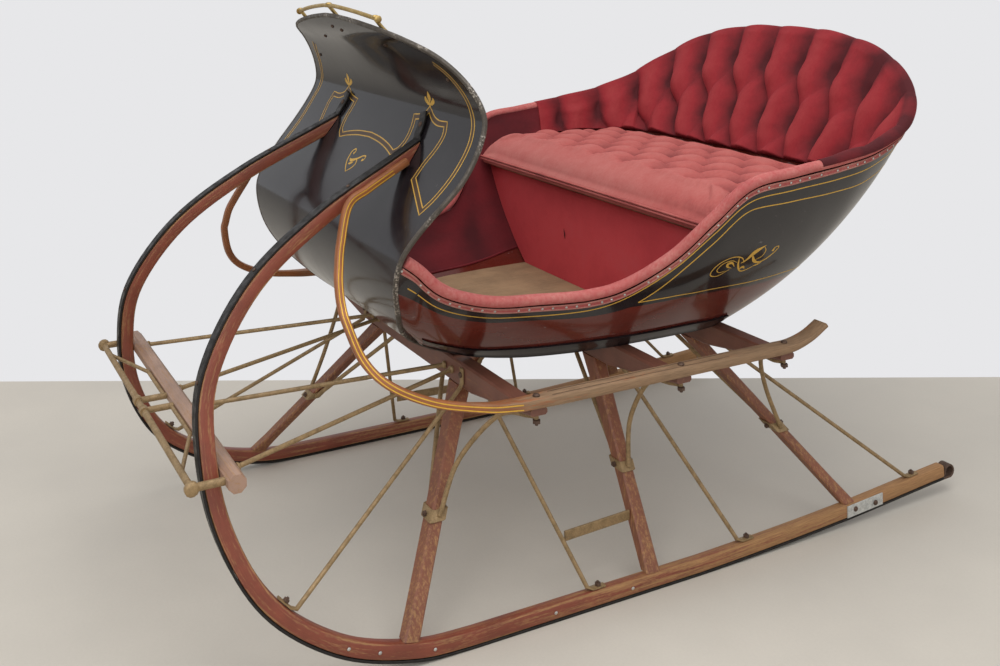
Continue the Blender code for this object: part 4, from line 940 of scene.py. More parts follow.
def make_floor_material(c):
    """Trowelled concrete, pale grey and faintly clouded, ending at the pale wall's foot."""
    mat, tree, place = begin("trowelled concrete", Roughness=0.62, IOR=1.45)
    clouds = pattern(tree, place, 420, 6.0, 0.3, 0.7)
    tone = lay(tree, c.concrete, toned(c.concrete, 1.22), clouds, 0.5)
    tone = lay(tree, tone, toned(c.concrete, 0.75), pattern(tree, place, 6, 4.0, 0.3, 0.7), 0.12)
    finish(mat, Base_Color=tone,
           Roughness=node(tree, "MapRange", {"Value": clouds, "To Min": 0.5, "To Max": 0.7}))
    first, second = (on_floor(*pixel) for pixel in WALL_FOOT)
    foot = (second - first).normalized()
    ahead = Vector((-foot.y, foot.x, 0.0))
    far = node(tree, "VectorMath", {0: place, 1: ahead}, out="Value", operation="DOT_PRODUCT")
    beyond = node(tree, "Math", {0: far, 1: first.dot(ahead)}, operation="GREATER_THAN")
    seen = total(tree, 0.0, (node(tree, "LightPath", out="Is Camera Ray"), beyond))
    glow = node(tree, "Emission", {"Color": c.wall, "Strength": 1.0})
    shown = tree.nodes["Principled BSDF"].outputs[0]
    mix = node(tree, "MixShader", {0: seen, 1: shown, 2: glow})
    tree.links.new(mix, tree.nodes["Material Output"].inputs["Surface"])
    return mat


class SLEIGH_OT_stage(bpy.types.Operator):
    """Makes the camera, the floor, the pale surroundings and the lamps"""
    bl_idname = "sleigh.stage"
    bl_label = "Stage"

    def execute(self, context):
        c = colours()
        make_camera()
        bpy.ops.object.select_all(action="DESELECT")
        bpy.ops.mesh.primitive_plane_add(size=40.0, location=(0.0, 0.0, 0.0))
        floor = context.active_object
        floor.name = "studio_floor"
        floor.data.materials.append(make_floor_material(c))
        floor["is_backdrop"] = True
        world = context.scene.world or bpy.data.worlds.new("studio")
        context.scene.world = world
        world.use_nodes = True
        tree = world.node_tree
        tree.nodes.clear()
        rays = node(tree, "LightPath").node.outputs
        plain = node(tree, "Math", {0: rays["Is Camera Ray"], 1: rays["Is Transmission Ray"]},
                     use_clamp=True)
        lit = node(tree, "Background", {"Color": linear("#f4f5f8"), "Strength": 0.74})
        seen = node(tree, "Background", {"Color": c.wall, "Strength": 1.0})
        node(tree, "OutputWorld", {"Surface": node(tree, "MixShader", {0: plain, 1: lit, 2: seen})})
        for name, place, size, power in LAMPS:
            data = bpy.data.lights.new(name, "AREA")
            data.shape = "SQUARE"
            data.size = size
            data.energy = power
            lamp = bpy.data.objects.new(name, data)
            lamp.location = place
            aim = LAMP_AIM - Vector(place)
            lamp.rotation_euler = aim.to_track_quat("-Z", "Y").to_euler()
            context.scene.collection.objects.link(lamp)
        context.scene.view_settings.view_transform = "Standard"
        return {"FINISHED"}


# Running gear

RIVET_Y = (-0.120, -0.063, 0.043, 0.300, 0.480)   # through the runner's side
SHOE_BOLT_STEP = 10   # points of the runner's path from one shoe bolt to the next
SHOE_EYE_TURN = math.radians(285)


def scarf(ring, tangent):
    """Slides the points of a ring along the runner until they lie on the dash."""
    def slid(point):
        def outside(way):
            p = point + tangent * way
            return p.y > dash_at(p.z)[0] - DASH_CLEARANCE
        return point + tangent * sum(search(-RUNNER_DEPTH * 2, RUNNER_DEPTH * 2, outside, 24)) / 2
    return [slid(point) for point in ring]


def offset_path(path, distance):
    return [p + n * distance for p, _, _, n in frames(path, X_AXIS)]


class SLEIGH_OT_runners(bpy.types.Operator):
    """Makes the two bent runners, their steel shoes and the bolts through them"""
    bl_idname = "sleigh.runners"
    bl_label = "Runners"

    def execute(self, context):
        for label, side in SIDES:
            shape = section(RUNNER_WIDTH, RUNNER_DEPTH, 5 * MM, 2)
            rings = []
            for i, (point, tangent, across, up) in enumerate(frames(runner_path(), X_AXIS)):
                ring = [point + across * u + up * v for u, v in shape]
                if i == 0:
                    ring = scarf(ring, tangent)
                rings.append(mirrored(ring, side))
            runner = loft("runner", rings, "runner", edges=True)
            merge("bent_runner_" + label, [runner], "runner_" + label)
            parts = self.shoe(side)
            radius = sizes().bolt_radius
            for number, (point, _, _, up) in enumerate(frames(runner_path(), X_AXIS)):
                if number % SHOE_BOLT_STEP == SHOE_BOLT_STEP // 2 and up.z > -0.5:
                    out = point + up * (RUNNER_DEPTH / 2 + SHOE_THICKNESS)
                    parts.append(bolt("shoe_bolt", place_on(side, out), place_on(side, up),
                                      "bolt", radius * 0.8))
            for y in RIVET_Y:
                out = runner_at(y) + X_AXIS * RUNNER_WIDTH / 2
                parts.append(bolt("side_rivet", place_on(side, out), (side, 0.0, -RUNNER_LEAN),
                                  "tack", radius * 0.7))
            merge("runner_shoe_" + label, parts, "shoe_" + label)
        return {"FINISHED"}

    def shoe(self, side):
        """The steel along the runner, its strap up the dash and its rusty eye behind."""
        path = offset_path(runner_path(), RUNNER_DEPTH / 2 + SHOE_THICKNESS / 2 + GAP)
        x, y, z = path[-1]
        y += SHOE_EYE_RADIUS + SHOE_THICKNESS
        last = path[-1] - path[-2]
        pitch = math.atan2(last.z, last.y)
        eye = []
        for k in range(1, 19):
            angle = SHOE_EYE_TURN * k / 18
            back, up = SHOE_EYE_RADIUS * math.sin(angle), SHOE_EYE_RADIUS * (1 - math.cos(angle))
            eye.append((x, y + back * math.cos(pitch) - up * math.sin(pitch),
                        z + up * math.cos(pitch) + back * math.sin(pitch)))
        heading = (path[1] - path[0]).normalized()
        corner = scarf([path[0]], heading)[0] + heading * SHOE_THICKNESS
        strap = []
        low = corner.z + SHOE_THICKNESS
        for share in (1.0, 0.8, 0.6, 0.4, 0.2, 0.0):
            height = low + (path[0][2] + SHOE_STRAP_LENGTH - low) * share
            face = dash_at(height)[0] - DASH_CLEARANCE - SHOE_THICKNESS
            strap.append((runner_x(height), face, height))
        flat = section(RUNNER_WIDTH, SHOE_THICKNESS, 1 * MM, 1)
        heel = sweep("heel", mirrored(path[-1:] + eye, side), flat, "bolt")
        shoe = sweep("shoe", mirrored([*strap, corner, *path[1:]], side), flat, "steel")
        return [shoe, heel]


KNEE_HALF = (0.020 * 0.95, 0.030 * 0.95 / 2)   # across and along the sleigh, inside the clamp
# Ring by ring round a clamp: height from its middle and how far it stands off the knee, mm
CLAMP_RINGS = ((-8, 0.3), (-9, 2), (-8, 3.5), (8, 3.5), (9, 2), (8, 0.3))
CLAMP_DEPTH = 4 * MM
BRACE_RADIUS = 5 * MM


def knee_axis(name, height):
    """Centre of a knee at a height."""
    low = runner_at(KNEE_Y[name]).z + RUNNER_DEPTH / 2 + 2 * GAP
    high = BENCH_TOP - BENCH_HEIGHT - GAP
    foot = Vector((runner_x(low), KNEE_Y[name], low))
    return foot.lerp(Vector((KNEE_TOP_X, BENCH_Y[name], high)), (height - low) / (high - low))


class SLEIGH_OT_knees(bpy.types.Operator):
    """Finishes the knees and benches and makes the clamps and braces that stiffen them"""
    bl_idname = "sleigh.knees"
    bl_label = "Knees and benches"

    def execute(self, context):
        for label, side in SIDES:
            for name in BENCH_Y:
                self.iron(name, label, side)
                paint("knee", "knee_%s_%s" % (name, label))
            self.step_bar(label, side)
        paint("bench", *("bench_" + name for name in BENCH_Y))
        paint("bar", "cross_bar")
        return {"FINISHED"}

    def step_bar(self, label, side):
        """The flat bar from the middle knee to the stay ahead of it."""
        height = CLAMP_HEIGHT * 0.6
        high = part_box("step_bar_" + label)[1]
        knee = knee_axis("middle", height)
        foot = STAY_FEET[0] * RUNNER_LENGTH - RUNNER_LEAD - 0.034
        ankle = 0.045
        down = (BENCH_TOP - height) / (BENCH_TOP - ankle)
        head = BENCH_Y["front"] + 0.022
        stay = Vector((STAY_TOP_X + (runner_x(ankle) - STAY_TOP_X) * down,
                       head + (foot - head) * down, height))
        end = Vector((knee.x, high[1] - settled(), height))
        bar = sweep("step_bar", mirrored((stay - X_AXIS * STAY_RADIUS * 2, end), side),
                    section(0.006, 0.020, 1.2 * MM), "iron")
        merge("foot_rest_" + label, [bar], "step_bar_" + label)

    def iron(self, name, label, side):
        """The clamp round a knee, its curved outer brace and its straight inner one."""
        bench_y = BENCH_Y[name]
        centre = knee_axis(name, CLAMP_HEIGHT)
        half, thick = KNEE_HALF
        loops = []
        for height, grow in CLAMP_RINGS:
            c = knee_axis(name, CLAMP_HEIGHT + height * MM)
            ring = section(2 * (half + grow * MM), 2 * (thick + grow * MM), 5 * MM, 2)
            loops.append([(side * (c.x + u), c.y + v, CLAMP_HEIGHT + height * MM)
                          for u, v in ring])
        parts = [loft("clamp", loops, "iron", closed=True)]
        radius = BRACE_RADIUS
        taper = (BENCH_HEIGHT - BENCH_END_HEIGHT) / (BENCH_HALF_LENGTH - BENCH_STRAIGHT)
        end_z = BENCH_TOP - GAP - radius - BENCH_END_HEIGHT - (BENCH_HALF_LENGTH - RAIL_X) * taper
        start = Vector((centre.x + half + CLAMP_DEPTH, centre.y, CLAMP_HEIGHT))
        end = Vector((RAIL_X, bench_y, end_z))
        rise, reach = end.z - start.z, end.x - start.x
        gap = bench_y - start.y
        route = spline((start, start + Vector((0.0, gap / 3, rise * 0.45)),
                        start + Vector((reach * 0.35, gap * 0.8, rise * 0.88)),
                        Vector((end.x - 0.030, bench_y, end.z - 0.030 * taper - radius / 4)),
                        end), 8)
        parts.append(sweep("brace", mirrored(route, side), circle(radius), "iron", Y_AXIS))
        start = Vector((centre.x - half - CLAMP_DEPTH, centre.y, CLAMP_HEIGHT))
        top = BENCH_TOP - BENCH_HEIGHT - GAP - radius
        bend, tip = Vector((0.130, bench_y, top)), Vector((0.100, bench_y, top))
        round_bend = spline((bend.lerp(start, 0.10), bend, bend.lerp(tip, 0.6)), 4)
        route = [start, start.lerp(bend, 0.5), *round_bend, tip]
        parts.append(sweep("inner_brace", mirrored(route, side), circle(radius), "iron", Y_AXIS))
        for ahead in (-1.0, 1.0):
            place = (side * centre.x, centre.y + ahead * (thick + 4.5 * MM), CLAMP_HEIGHT)
            parts.append(bolt("clamp_nut", place, (0.0, ahead, 0.0), "bolt", 6 * MM, "nut"))
        merge("brace_%s_%s" % (name, label), parts, "knee_iron_%s_%s" % (name, label))


STAY_FEET = (0.443, 0.663, 0.955)   # shares of the runner's length
LUG_LENGTH = 0.030
LUG_HALF = (8 * MM, 2.5 * MM)   # across and through a stay's flat ends


def lying_on(low, high):
    """Where a stay's foot lies on the runner, the way it points there, and up from it."""
    direction = (high - low).normalized()
    up = Vector((0.0, -direction.z, direction.y))
    if up.z < 0:
        up = -up
    lift = RUNNER_DEPTH / 2 + LUG_HALF[1] + GAP * 2
    return high + up * lift - direction * 4 * MM, direction, up


class SLEIGH_OT_stays(bpy.types.Operator):
    """Makes the round stays between the benches and the runners, with their bolted ends"""
    bl_idname = "sleigh.stays"
    bl_label = "Stays and rods"

    def execute(self, context):
        clear = BENCH_THICKNESS / 2 + LUG_HALF[1] + GAP
        high = BENCH_TOP - 8 * MM
        path = [Vector(p) for p in runner_path(4)]
        index = min(i for i, p in enumerate(path) if i > 0 and p.z < 0.160)
        for label, side in SIDES:
            plans = [(BENCH_Y["front"] - clear, -1.0, lying_on(path[index + 1], path[index]))]
            for bench, share in zip(BENCH_Y.values(), STAY_FEET):
                y = share * RUNNER_LENGTH - RUNNER_LEAD
                foot = lying_on(runner_at(y - LUG_LENGTH), runner_at(y))
                plans.append((bench + clear, 1.0, foot))
            for number, (y, away, foot) in enumerate(plans):
                self.stay(side, Vector((STAY_TOP_X, y, high)), away, foot,
                          "stay_%d_%s" % (number + 1, label))
            self.bar_rods(label, side)
        return {"FINISHED"}

    def stay(self, side, top, away, foot, node_name):
        """A round rod with flat ends: a lug against the bench and a foot along the runner."""
        point, direction, up = foot
        heel = point - direction * LUG_LENGTH
        ankle = heel - direction * 0.010 + up * STAY_RADIUS
        low = top - Z_AXIS * LUG_LENGTH
        neck = low + Vector((0.0, away * STAY_RADIUS, -0.010))
        straight = [neck.lerp(ankle, t) for t in (0.06, 0.5, 0.94)]
        route = [top, low, neck, *straight, ankle, heel, point]
        rod = circle(STAY_RADIUS, 8)
        wide, thick = LUG_HALF
        pad = tuple((wide * u / STAY_RADIUS, thick * v / STAY_RADIUS) for u, v in rod)
        shapes = [pad, pad, rod, rod, rod, rod, rod, pad, pad]
        parts = [sweep("stay", mirrored(route, side), shapes, "iron")]
        middle = heel.lerp(point, 0.5) + up * thick
        parts.append(bolt("foot_nut", place_on(side, middle), place_on(side, up), "bolt",
                          6.5 * MM, "nut"))
        middle = top.lerp(low, 0.45) + Y_AXIS * away * thick
        parts.append(bolt("head_bolt", place_on(side, middle), (0.0, away, 0.0), "bolt", 6 * MM))
        merge("rod_" + node_name, parts, node_name)

    def bar_rods(self, label, side):
        """The two rods each side from the cross bar to the front bench, thick at their ends."""
        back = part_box("cross_bar")[1][1] - settled() + GAP
        face = BENCH_Y["front"] - BENCH_THICKNESS / 2 - GAP
        height = BENCH_TOP - BENCH_HEIGHT / 2
        marks = ((0.0, 8.0), (4.0, 8.0), (7.0, 5.0), (14.0, 4.6))   # from an end, radius, mm
        for place, bar_x, bench_x in (("outer", 0.372, KNEE_TOP_X),
                                      ("inner", 0.055, KNEE_TOP_X - 0.032)):
            start, end = Vector((bar_x, back, BAR_HEIGHT)), Vector((bench_x, face, height))
            heading = (end - start).normalized() * MM
            route = [start + heading * m for m, _ in marks]
            route += [end - heading * m for m, _ in reversed(marks)]
            shapes = [circle(r * MM) for _, r in (*marks, *reversed(marks))]
            rod = sweep("rod", mirrored(route, side), shapes, "iron")
            merge("tie_rod_%s_%s" % (place, label), [rod], "bar_rod_%s_%s" % (place, label))


class SLEIGH_OT_draught(bpy.types.Operator):
    """Makes the shifting iron ahead of the cross bar, with its eyes, arms and trusses"""
    bl_idname = "sleigh.draught"
    bl_label = "Shifting iron"

    def execute(self, context):
        low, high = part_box("cross_bar")
        y = (low[1] + high[1]) / 2 - settled()
        ahead, face = y - SHIFT_ROD_AHEAD, y - BAR_WIDTH / 2 - GAP
        radius = 6.5 * MM
        near = face - 4 * MM
        eye = ((-9.0, 6.5), (-7.0, 11.0), (-4.5, 13.0), (4.5, 13.0), (7.0, 11.0), (9.0, 6.5))
        parts = []

        def rod(name, shapes, *places):
            route = [(x, back, BAR_HEIGHT) for x, back in places]
            parts.append(sweep(name, route, shapes, "iron", Z_AXIS))

        rod("rod", circle(radius), (-SHIFT_ROD_HALF, ahead), (SHIFT_ROD_HALF, ahead))
        for _, side in SIDES:
            x = side * (SHIFT_ROD_HALF - radius / 2)
            rod("end_arm", circle(7.4 * MM), (x, face), (x, ahead))
            rod("eye", [circle(r * MM) for _, r in eye],
                *((side * (SHIFT_ROD_HALF + m * MM * 0.9), ahead) for m, _ in eye))
            x = side * 0.030
            rod("arm", circle(radius), (x, face), (x, ahead))
            rod("collar", circle(9.5 * MM), (x - 9 * MM, ahead), (x + 9 * MM, ahead))
            rod("truss", circle(4 * MM), (side * (runner_x(BAR_HEIGHT) - RUNNER_WIDTH), ahead),
                (side * SHIFT_ROD_HALF * 0.45, near), (side * 0.045, near), (side * 0.024, near))
        merge("shifting_iron", parts, "shift_iron")
        return {"FINISHED"}


# The rail's rising end: back, up
RAIL_TAIL = ((0.82, 0.0), (0.86, 2 * MM), (0.905, 14 * MM), (RAIL_END_Y, RAIL_END_RISE * 0.66))


def fender_route():
    """The bow's centre line, off the runner and down, and on along the bench ends."""
    top = BENCH_TOP + GAP + RAIL_THICKNESS / 2
    beside = RUNNER_WIDTH / 2 + BOW_WIDTH / 2 + GAP
    runner = runner_path(4)
    root = []
    for step, parted in ((0, 0.0), (1, 0.05), (2, 0.25), (3, 0.85)):
        x, y, z = runner[step]
        root.append((x + beside + parted * BOW_WIDTH, y, z))
    low = [(out * RAIL_X, back * RAIL_END_Y, up * BENCH_TOP) for out, back, up in FENDER_SHARES]
    curve = spline(root + low + [(RAIL_X, BENCH_Y["front"] - BENCH_THICKNESS, top)], 8)
    straight = [(RAIL_X, y, top) for y in (0.3, 0.45, 0.6, 0.75)]
    return curve + straight + spline([(RAIL_X, y, top + rise) for y, rise in RAIL_TAIL], 5)


class SLEIGH_OT_fenders(bpy.types.Operator):
    """Makes the fender bows that spring from the runners and run back as rails"""
    bl_idname = "sleigh.fenders"
    bl_label = "Fenders"

    def execute(self, context):
        route = fender_route()
        for label, side in SIDES:
            shapes = []
            for _, y, z in route:
                spread = RAIL_END_Y * 0.1
                t = min(max((y - spread) / (BENCH_Y["front"] - spread), 0.0), 1.0)
                if z > BENCH_TOP * 1.25:
                    t = 0.0
                thin = 1.0 - 0.45 * smooth((y - 0.80) / 0.145)
                wide = BOW_WIDTH + (RAIL_WIDTH - BOW_WIDTH) * t
                deep = (BOW_WIDTH + (RAIL_THICKNESS - BOW_WIDTH) * t) * thin
                shapes.append(section(wide, deep, 4.5 * MM, 2))
            parts = [sweep("bow", mirrored(route, side), shapes, "fender", edges=True)]
            top = BENCH_TOP + GAP + RAIL_THICKNESS
            low = BENCH_TOP - BENCH_END_HEIGHT - 11 * MM
            for y in BENCH_Y.values():
                parts.append(bolt("rail_bolt", (RAIL_X * side, y, top), Z_AXIS, "bolt", 7 * MM))
                parts.append(bolt("rail_nut", (RAIL_X * side, y, low), -Z_AXIS, "bolt",
                                  8 * MM, "nut"))
            merge("fender_bow_" + label, parts, "fender_" + label)
            self.lines(label, side, route, shapes)
        return {"FINISHED"}

    def lines(self, label, side, route, shapes):
        """Yellow lines near the edges of the bow's outer face, and dark ones on the rail."""
        last = max(i for i, p in enumerate(route) if p[1] < BENCH_Y["front"]) + 1
        run = list(zip(frames(route, X_AXIS), shapes))[6:last]
        for number, edge in enumerate((1.0, -1.0)):
            points, normals = [], []
            for (point, _, across, up), shape in run:
                wide, deep = max(u for u, _ in shape), max(v for _, v in shape)
                place = point + across * wide + up * edge * (deep - 4.5 * MM)
                points.append(place_on(side, place))
                normals.append(place_on(side, across))
            stroke("bow_line_%s_%d" % (label, number), points, normals, 2.0 * MM, "rail_line")
        top = BENCH_TOP + GAP + RAIL_THICKNESS
        for number, out in enumerate((-10 * MM, 9 * MM)):
            points = [Vector(((RAIL_X + out) * side, BENCH_Y["front"] + 0.03 + 0.42 * k / 20, top))
                      for k in range(21)]
            stroke("rail_line_%s_%d" % (label, number), points, [Z_AXIS] * 21, 1.6 * MM, "band")


class SLEIGH_OT_small_irons(bpy.types.Operator):
    """Finishes the back stays and the mending plate, and makes the plate's screws"""
    bl_idname = "sleigh.small_irons"
    bl_label = "Back stays and mending plate"

    def execute(self, context):
        paint("iron", "back_stay_left", "back_stay_right")
        paint("zinc", "mend_plate")
        low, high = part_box("mend_plate")
        for y in (0.22, 0.78):
            place = (high[0] - 1 * MM, low[1] + (high[1] - low[1]) * y - settled(),
                     (low[2] + high[2]) / 2)
            bolt("plate_screw_%d" % (100 * y), place, (1.0, 0.0, -RUNNER_LEAN / 3), "bolt", 6 * MM)
        return {"FINISHED"}


# Tub

SEAM = 0.004   # stations between the side walls and the back


def wall_grid(start, end, see):
    """What see() gives for a place round the tub's wall and a share of its height, in rows."""
    columns, rows = int((end - start) * 8), 60
    return [[see(start + (end - start) * k / columns, r / rows) for k in range(columns + 1)]
            for r in range(rows + 1)]


class SLEIGH_OT_tub(bpy.types.Operator):
    """Makes the lacquered walls of the tub with their striping, and the black sill"""
    bl_idname = "sleigh.tub"
    bl_label = "Tub"

    def execute(self, context):
        full = 2 * WALL_STATIONS
        for name, start, end, node_name in (
                ("tub_side_left", 0.0, CORNER_STATION, "side_panel_left"),
                ("tub_back", CORNER_STATION + SEAM, full - CORNER_STATION - SEAM, "back_panel"),
                ("tub_side_right", full - CORNER_STATION, full, "side_panel_right")):
            outer, inner = (
                wall_grid(start, end, lambda place, share: wall_round(place, share, depth)[0])
                for depth in (0.0, WALL))
            uvs = wall_grid(start, end, lambda place, share: (place / WALL_STATIONS, share))
            above = wall_grid(start, end, lambda place, share: share - read(
                PAINT_LINE, round_wall(place)[0]))
            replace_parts(shell(name, outer, inner, "tub", uvs=uvs, crown=above), node_name)
        for label, side in SIDES:
            self.sill(label, side)
            self.stripes(label, side)
        return {"FINISHED"}

    def sill(self, label, side):
        """The black moulding round the foot of a wall."""
        rings = []
        for k in range(61):
            station = 0.5 + 9.0 * k / 60
            low = wall(station, 0.0)[0]
            if low.y > SILL_END_Y:
                break
            ahead = wall(station + 0.1, 0.0)[0] - wall(station - 0.1, 0.0)[0]
            out = Vector((ahead.y, -ahead.x, 0.0)).normalized()
            share = SILL_HEIGHT / (wall(station, 0.2)[0].z - low.z) * 0.2
            high = wall(station, share)[0]
            middle = low.lerp(high, 0.5)
            full, thin = out * SILL_THICKNESS, out * SOFT_GAP
            lip = high + Z_AXIS * 2 * MM
            ring = (low + thin, low + full * 0.8, low + full + Z_AXIS * 3 * MM, middle + full,
                    high + full * 0.8, lip + full * 0.4, lip + thin, middle + thin)
            rings.append(mirrored(ring, side))
        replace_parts(loft("sill_moulding_" + label, rings, "black"), "sill_" + label)

    def stripes(self, label, side):
        """The gold stripes of a wall, which meet at its lower front corner."""
        for name, line in (("outer", OUTER_LINE), ("inner", INNER_LINE), ("lower", LOWER_LINE)):
            start = line[0][0]
            steps = int((WALL_STATIONS - start) * 10)
            curve = spline(line, 12)
            stations = [start + (WALL_STATIONS - start) * k / steps for k in range(steps + 1)]
            placed = [wall(station, read(curve, station), 0.0, side) for station in stations]
            stroke("stripe_%s_%s" % (name, label), *zip(*placed), sizes().stripe_width, "gold")


def wall_place(y, z, depth, guess):
    """Station and share at which the wall, so deep inside, passes a height and distance back."""
    station, share = guess
    step = 0.01
    for _ in range(12):
        here = wall(station, share, depth)[0]
        ds = (wall(station + step, share, depth)[0] - here) / step
        dv = (wall(station, share + step, depth)[0] - here) / step
        ey, ez = y - here.y, z - here.z
        area = ds.y * dv.z - ds.z * dv.y
        if abs(area) < 1e-9:
            break
        station += max(min((ey * dv.z - ez * dv.y) / area, 1.0), -1.0)
        share += max(min((ds.y * ez - ds.z * ey) / area, 0.3), -0.3)
        station = min(max(station, 0.3), WALL_STATIONS - 0.05)
        share = min(max(share, 0.0), 1.0 - step)
    return station, share


# Scroll on the tub's side in millimetres from SCROLL_START: points, widths
SCROLL = (
    (((48, 14), (25, 2), (5, 5), (2, 17), (15, 34), (41, 44), (66, 41), (80, 28)),
     (1.2, 2, 2.6, 2.6, 2.2, 2, 2.6, 1)),
    (((40, 12), (24, 10), (15, 18), (24, 31), (44, 36), (60, 30)), (1, 1.6, 2, 2, 1.8, 0.8)),
    (((52, 17), (40, 22), (38, 29), (48, 30), (58, 20)), (1, 5, 7, 5, 1)),
    (((61, 40), (67, 22), (80, 6), (98, 8), (116, 17)), (1, 4.5, 3.5, 2, 1)),
    (((74, 12), (82, 16), (88, 11)), (1, 6, 1)),
    (((72, 26), (84, 34), (98, 50), (121, 63)), (1.5, 5, 11, 1)),
    (((96, 40), (106, 27), (122, 22), (142, 30), (158, 46), (160, 55), (151, 54), (147, 45)),
     (4, 7, 4, 3, 2.4, 2, 2.4, 6)),
    (((118, 60), (126, 50), (122, 36), (108, 30)), (1, 2, 2, 1)),
    (((112, 14), (121, 17), (130, 22)), (1, 3.5, 1)),
)
SCROLL_START = (0.684, 0.610)   # back, up

# Lily over each peak of the dash's band, and the leaf at its middle, in millimetres
LILY = (
    (((0, 8), (0, 14), (0, 20), (0, 30)), (1.5, 7, 8.5, 0.6)),
    (((-1, 6), (-5, 8), (-9, 13), (-7.5, 18)), (1.5, 5, 6.5, 1)),
    (((1, 6), (5, 8), (9, 13), (7.5, 18)), (1.5, 5, 6.5, 1)),
    (((0, -2), (0, 4), (0, 9)), (5, 2.4, 2)),
    (((-6, 4), (0, 5.5), (6, 4)), (1.2, 3, 1.2)),
)
LEAF = (
    (((6, -21), (-6, -12), (-16, -2), (-21, 8), (-23, 18), (-17, 24), (-11, 20), (-13, 14)),
     (1, 1.6, 2, 2.2, 2.4, 2, 1.8, 4)),
    (((6, -21), (16, -12), (20, -3), (15, 5), (6, 8)), (1, 1.6, 1.8, 1.8, 1)),
    (((-12, 4), (-2, 2), (12, 8), (26, 17), (35, 17), (36, 10), (30, 9)),
     (1, 4.5, 3, 2, 2, 1.8, 4)),
    (((-4, -6), (2, -4), (8, 0)), (1, 4, 1)),
)


def paint_path(path, widths, place, name):
    """Draws a brush stroke smoothly through its points on a surface given by place()."""
    rows = spline([(*p, w) for p, w in zip(path, widths)], 5)
    placed = [place(a, b) for a, b, _ in rows]
    return stroke(name, *zip(*placed), [max(w, 0.3) * MM for _, _, w in rows], "gold")


def offset_line(points, distance):
    """A flat line moved sideways, with its corners kept sharp."""
    out = []
    for i, point in enumerate(points):
        here = Vector(point)
        ahead = Vector(points[min(i + 1, len(points) - 1)]) - here
        behind = here - Vector(points[max(i - 1, 0)])
        ahead = (ahead if ahead.length > 0 else behind).normalized()
        behind = (behind if behind.length > 0 else ahead).normalized()
        first, second = Vector((-behind.y, behind.x)), Vector((-ahead.y, ahead.x))
        middle = (first + second).normalized()
        out.append(here + middle * distance / max(middle.dot(first), 0.25))
    return out


# Bolt heads in the dash: out, up
DASH_BOLTS = ((0.178, 1.104), (-0.178, 1.104), (-0.025, 1.135), (0.012, 1.128), (0.36, 1.045),
              (-0.36, 1.045))
STRAP_BOLTS = (0.892, 0.938)   # heights in the shoes' straps
BEAD_RADIUS = 5.2 * MM


